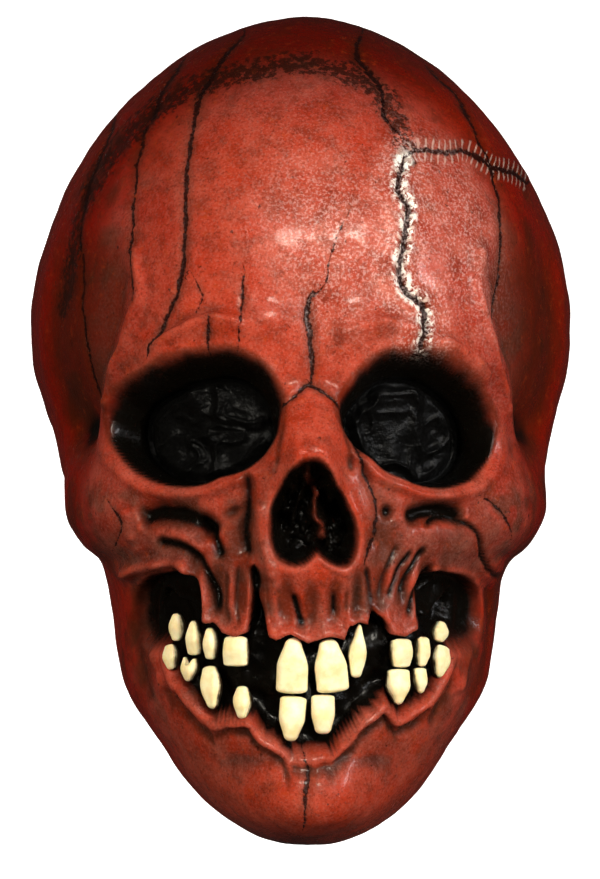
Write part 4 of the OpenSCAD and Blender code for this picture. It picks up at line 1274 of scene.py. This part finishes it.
STUD_R, EYELET_R, BARREL_R, FLANGE_R, CAP_R = 2.5, 2.55, 3.55, 5, 5.6   # radii
FLANGE_T, CAP_T, PLAY = 0.3, 1.6, 0.3
IN, OUT = FLAT_X - STRAP_T - FLANGE_T, FLAT_X + FLANGE_T   # both faces of an eyelet
CAP_X, PATCH_X = IN - PLAY - CAP_T, OUT + PLAY             # where cap and disc start
for side, word in ((-1, "right"), (1, "left")):
    cut_away(strap, rod("hole", side, IN - 4, OUT + 4, BARREL_R - 0.1))
    cut = [(IN, EYELET_R), (OUT, EYELET_R), (OUT, FLANGE_R), (OUT - FLANGE_T, FLANGE_R),
           (OUT - FLANGE_T, BARREL_R), (IN + FLANGE_T, BARREL_R), (IN + FLANGE_T, FLANGE_R), (IN, FLANGE_R)]
    eyelet = spin_profile(word + "_ring", side, rounded(cut, 0.12), ring=True)
    finish(eyelet, "strap", "stud_metal", word + "_strap_eyelet")
    # The cap is a low dome with a rounded rim and a flat back
    dome = [(CAP_X + 0.30 * s ** 2, CAP_R * s) for s in np.linspace(0.02, 1, 10)]
    rim = [(CAP_X + 0.30 + 0.5 * (1 - math.cos(q)), CAP_R + 0.9 * math.sin(q))
           for q in np.linspace(0.2, math.pi / 2, 6)]
    back = [(CAP_X + 1.45, CAP_R + 0.9), (CAP_X + CAP_T, CAP_R + 0.75), (CAP_X + CAP_T, 0.02)]
    finish(spin_profile(word + "_cap", side, dome + rim + back), "mask", "stud_metal", word + "_stud_cap")
    post = rod(word + "_post", side, CAP_X + 0.6, PATCH_X + 1.2, STUD_R)
    finish(post, "mask", "stud_metal", word + "_strap_stud")
    # The disc is flat inside and tapers outwards into the latex
    flat = [(PATCH_X, 0.02)] + [(PATCH_X, r) for r in np.linspace(3, 14.2, 8)]
    edge = [(PATCH_X + 0.1, 14.6), (PATCH_X + 0.4, 14.9), (PATCH_X + 0.8, 15)]
    taper = [(86, 15), (87.2, 12), (88.4, 8), (89, 4), (89, 0.02)]
    finish(spin_profile(word + "_disc", side, flat + edge + taper), "mask", "rubber", word + "_anchor_patch")
strap.data.shade_smooth()
finish(strap, "strap", "elastic", "elastic_strap")
finish(tail, "strap", "elastic", "strap_tail")


# %% Adjuster
def arc_box(name, low, high, half_angle, height, radius, middle=0):
    """A box bent round the strap's back arc, over half_angle to each side of middle, in degrees.
    low and high are distances outward from the strap's outer face. Its long edges are rounded."""
    h = height / 2
    across = rounded([(low, -h), (high, -h), (high, h), (low, h)], radius, 4)
    angles = np.radians(np.linspace(90 + middle - half_angle, 90 + middle + half_angle, 33))[:, None]
    r, z = BACK_R + across[None, :, 0], STRAP_Z + across[None, :, 1] + 0 * angles
    return closed_grid(name, (np.stack([r * np.cos(angles), BACK_Y + r * np.sin(angles), z], -1) - HEAD) * MM)


plies = 2 * STRAP_T
adjuster = arc_box("tri_glide", -plies - 1.95, 1.95, 7, STRAP_W + 7, 0.6)
cut_away(adjuster, arc_box("slot", -plies - 0.35, 0.35, 9, STRAP_W + 1, 0.3))
for middle in (-3.4, 3.4):
    cut_away(adjuster, arc_box("window", -plies - 4, 4, 2, STRAP_W - 2, 1.5, middle))
ease = adjuster.modifiers.new("eased edges", "BEVEL")
ease.width, ease.segments = 0.00035, 2
ease.limit_method, ease.angle_limit = "ANGLE", math.radians(40)
adjuster.data.shade_smooth()
finish(adjuster, "adjuster", "buckle", "slide_adjuster")


# %% [markdown]
# ## Floor and backdrop
# A pale sheet runs under the mask and up behind it in one curve, as in a product studio.

# %% Backdrop
FLOOR_Z, CURVE_Y, CURVE_R = -0.26, 1.2, 1.0
side_line = [(-2.6, FLOOR_Z)]
side_line += [(CURVE_Y + CURVE_R * math.sin(q), FLOOR_Z + CURVE_R * (1 - math.cos(q)))
              for q in np.linspace(0, math.pi / 2, 24)]
side_line += [(CURVE_Y + CURVE_R, 3.5)]
sweep = [(x, y, z) for y, z in side_line for x in (-3.5, 3.5)]
backdrop = mesh_piece("backdrop", sweep, quads(len(side_line), 2, wrap=False))
pale = plain("backdrop_paper", (0.90, 0.90, 0.90), 30, 0, 0.004, Roughness=0.9,
             Emission_Color=(1, 1, 1, 1), Emission_Strength=0.75)
backdrop.data.materials.append(pale)
tree = pale.node_tree   # seen from behind, the sheet is clear
see_through, both = tree.nodes.new("ShaderNodeBsdfTransparent"), tree.nodes.new("ShaderNodeMixShader")
tree.links.new(tree.nodes.new("ShaderNodeNewGeometry").outputs["Backfacing"], both.inputs[0])
tree.links.new(tree.nodes["Principled BSDF"].outputs[0], both.inputs[1])
tree.links.new(see_through.outputs[0], both.inputs[2])
tree.links.new(both.outputs[0], tree.nodes["Material Output"].inputs["Surface"])
backdrop.visible_diffuse = backdrop.visible_glossy = False   # it is bright, but doesn't light the mask
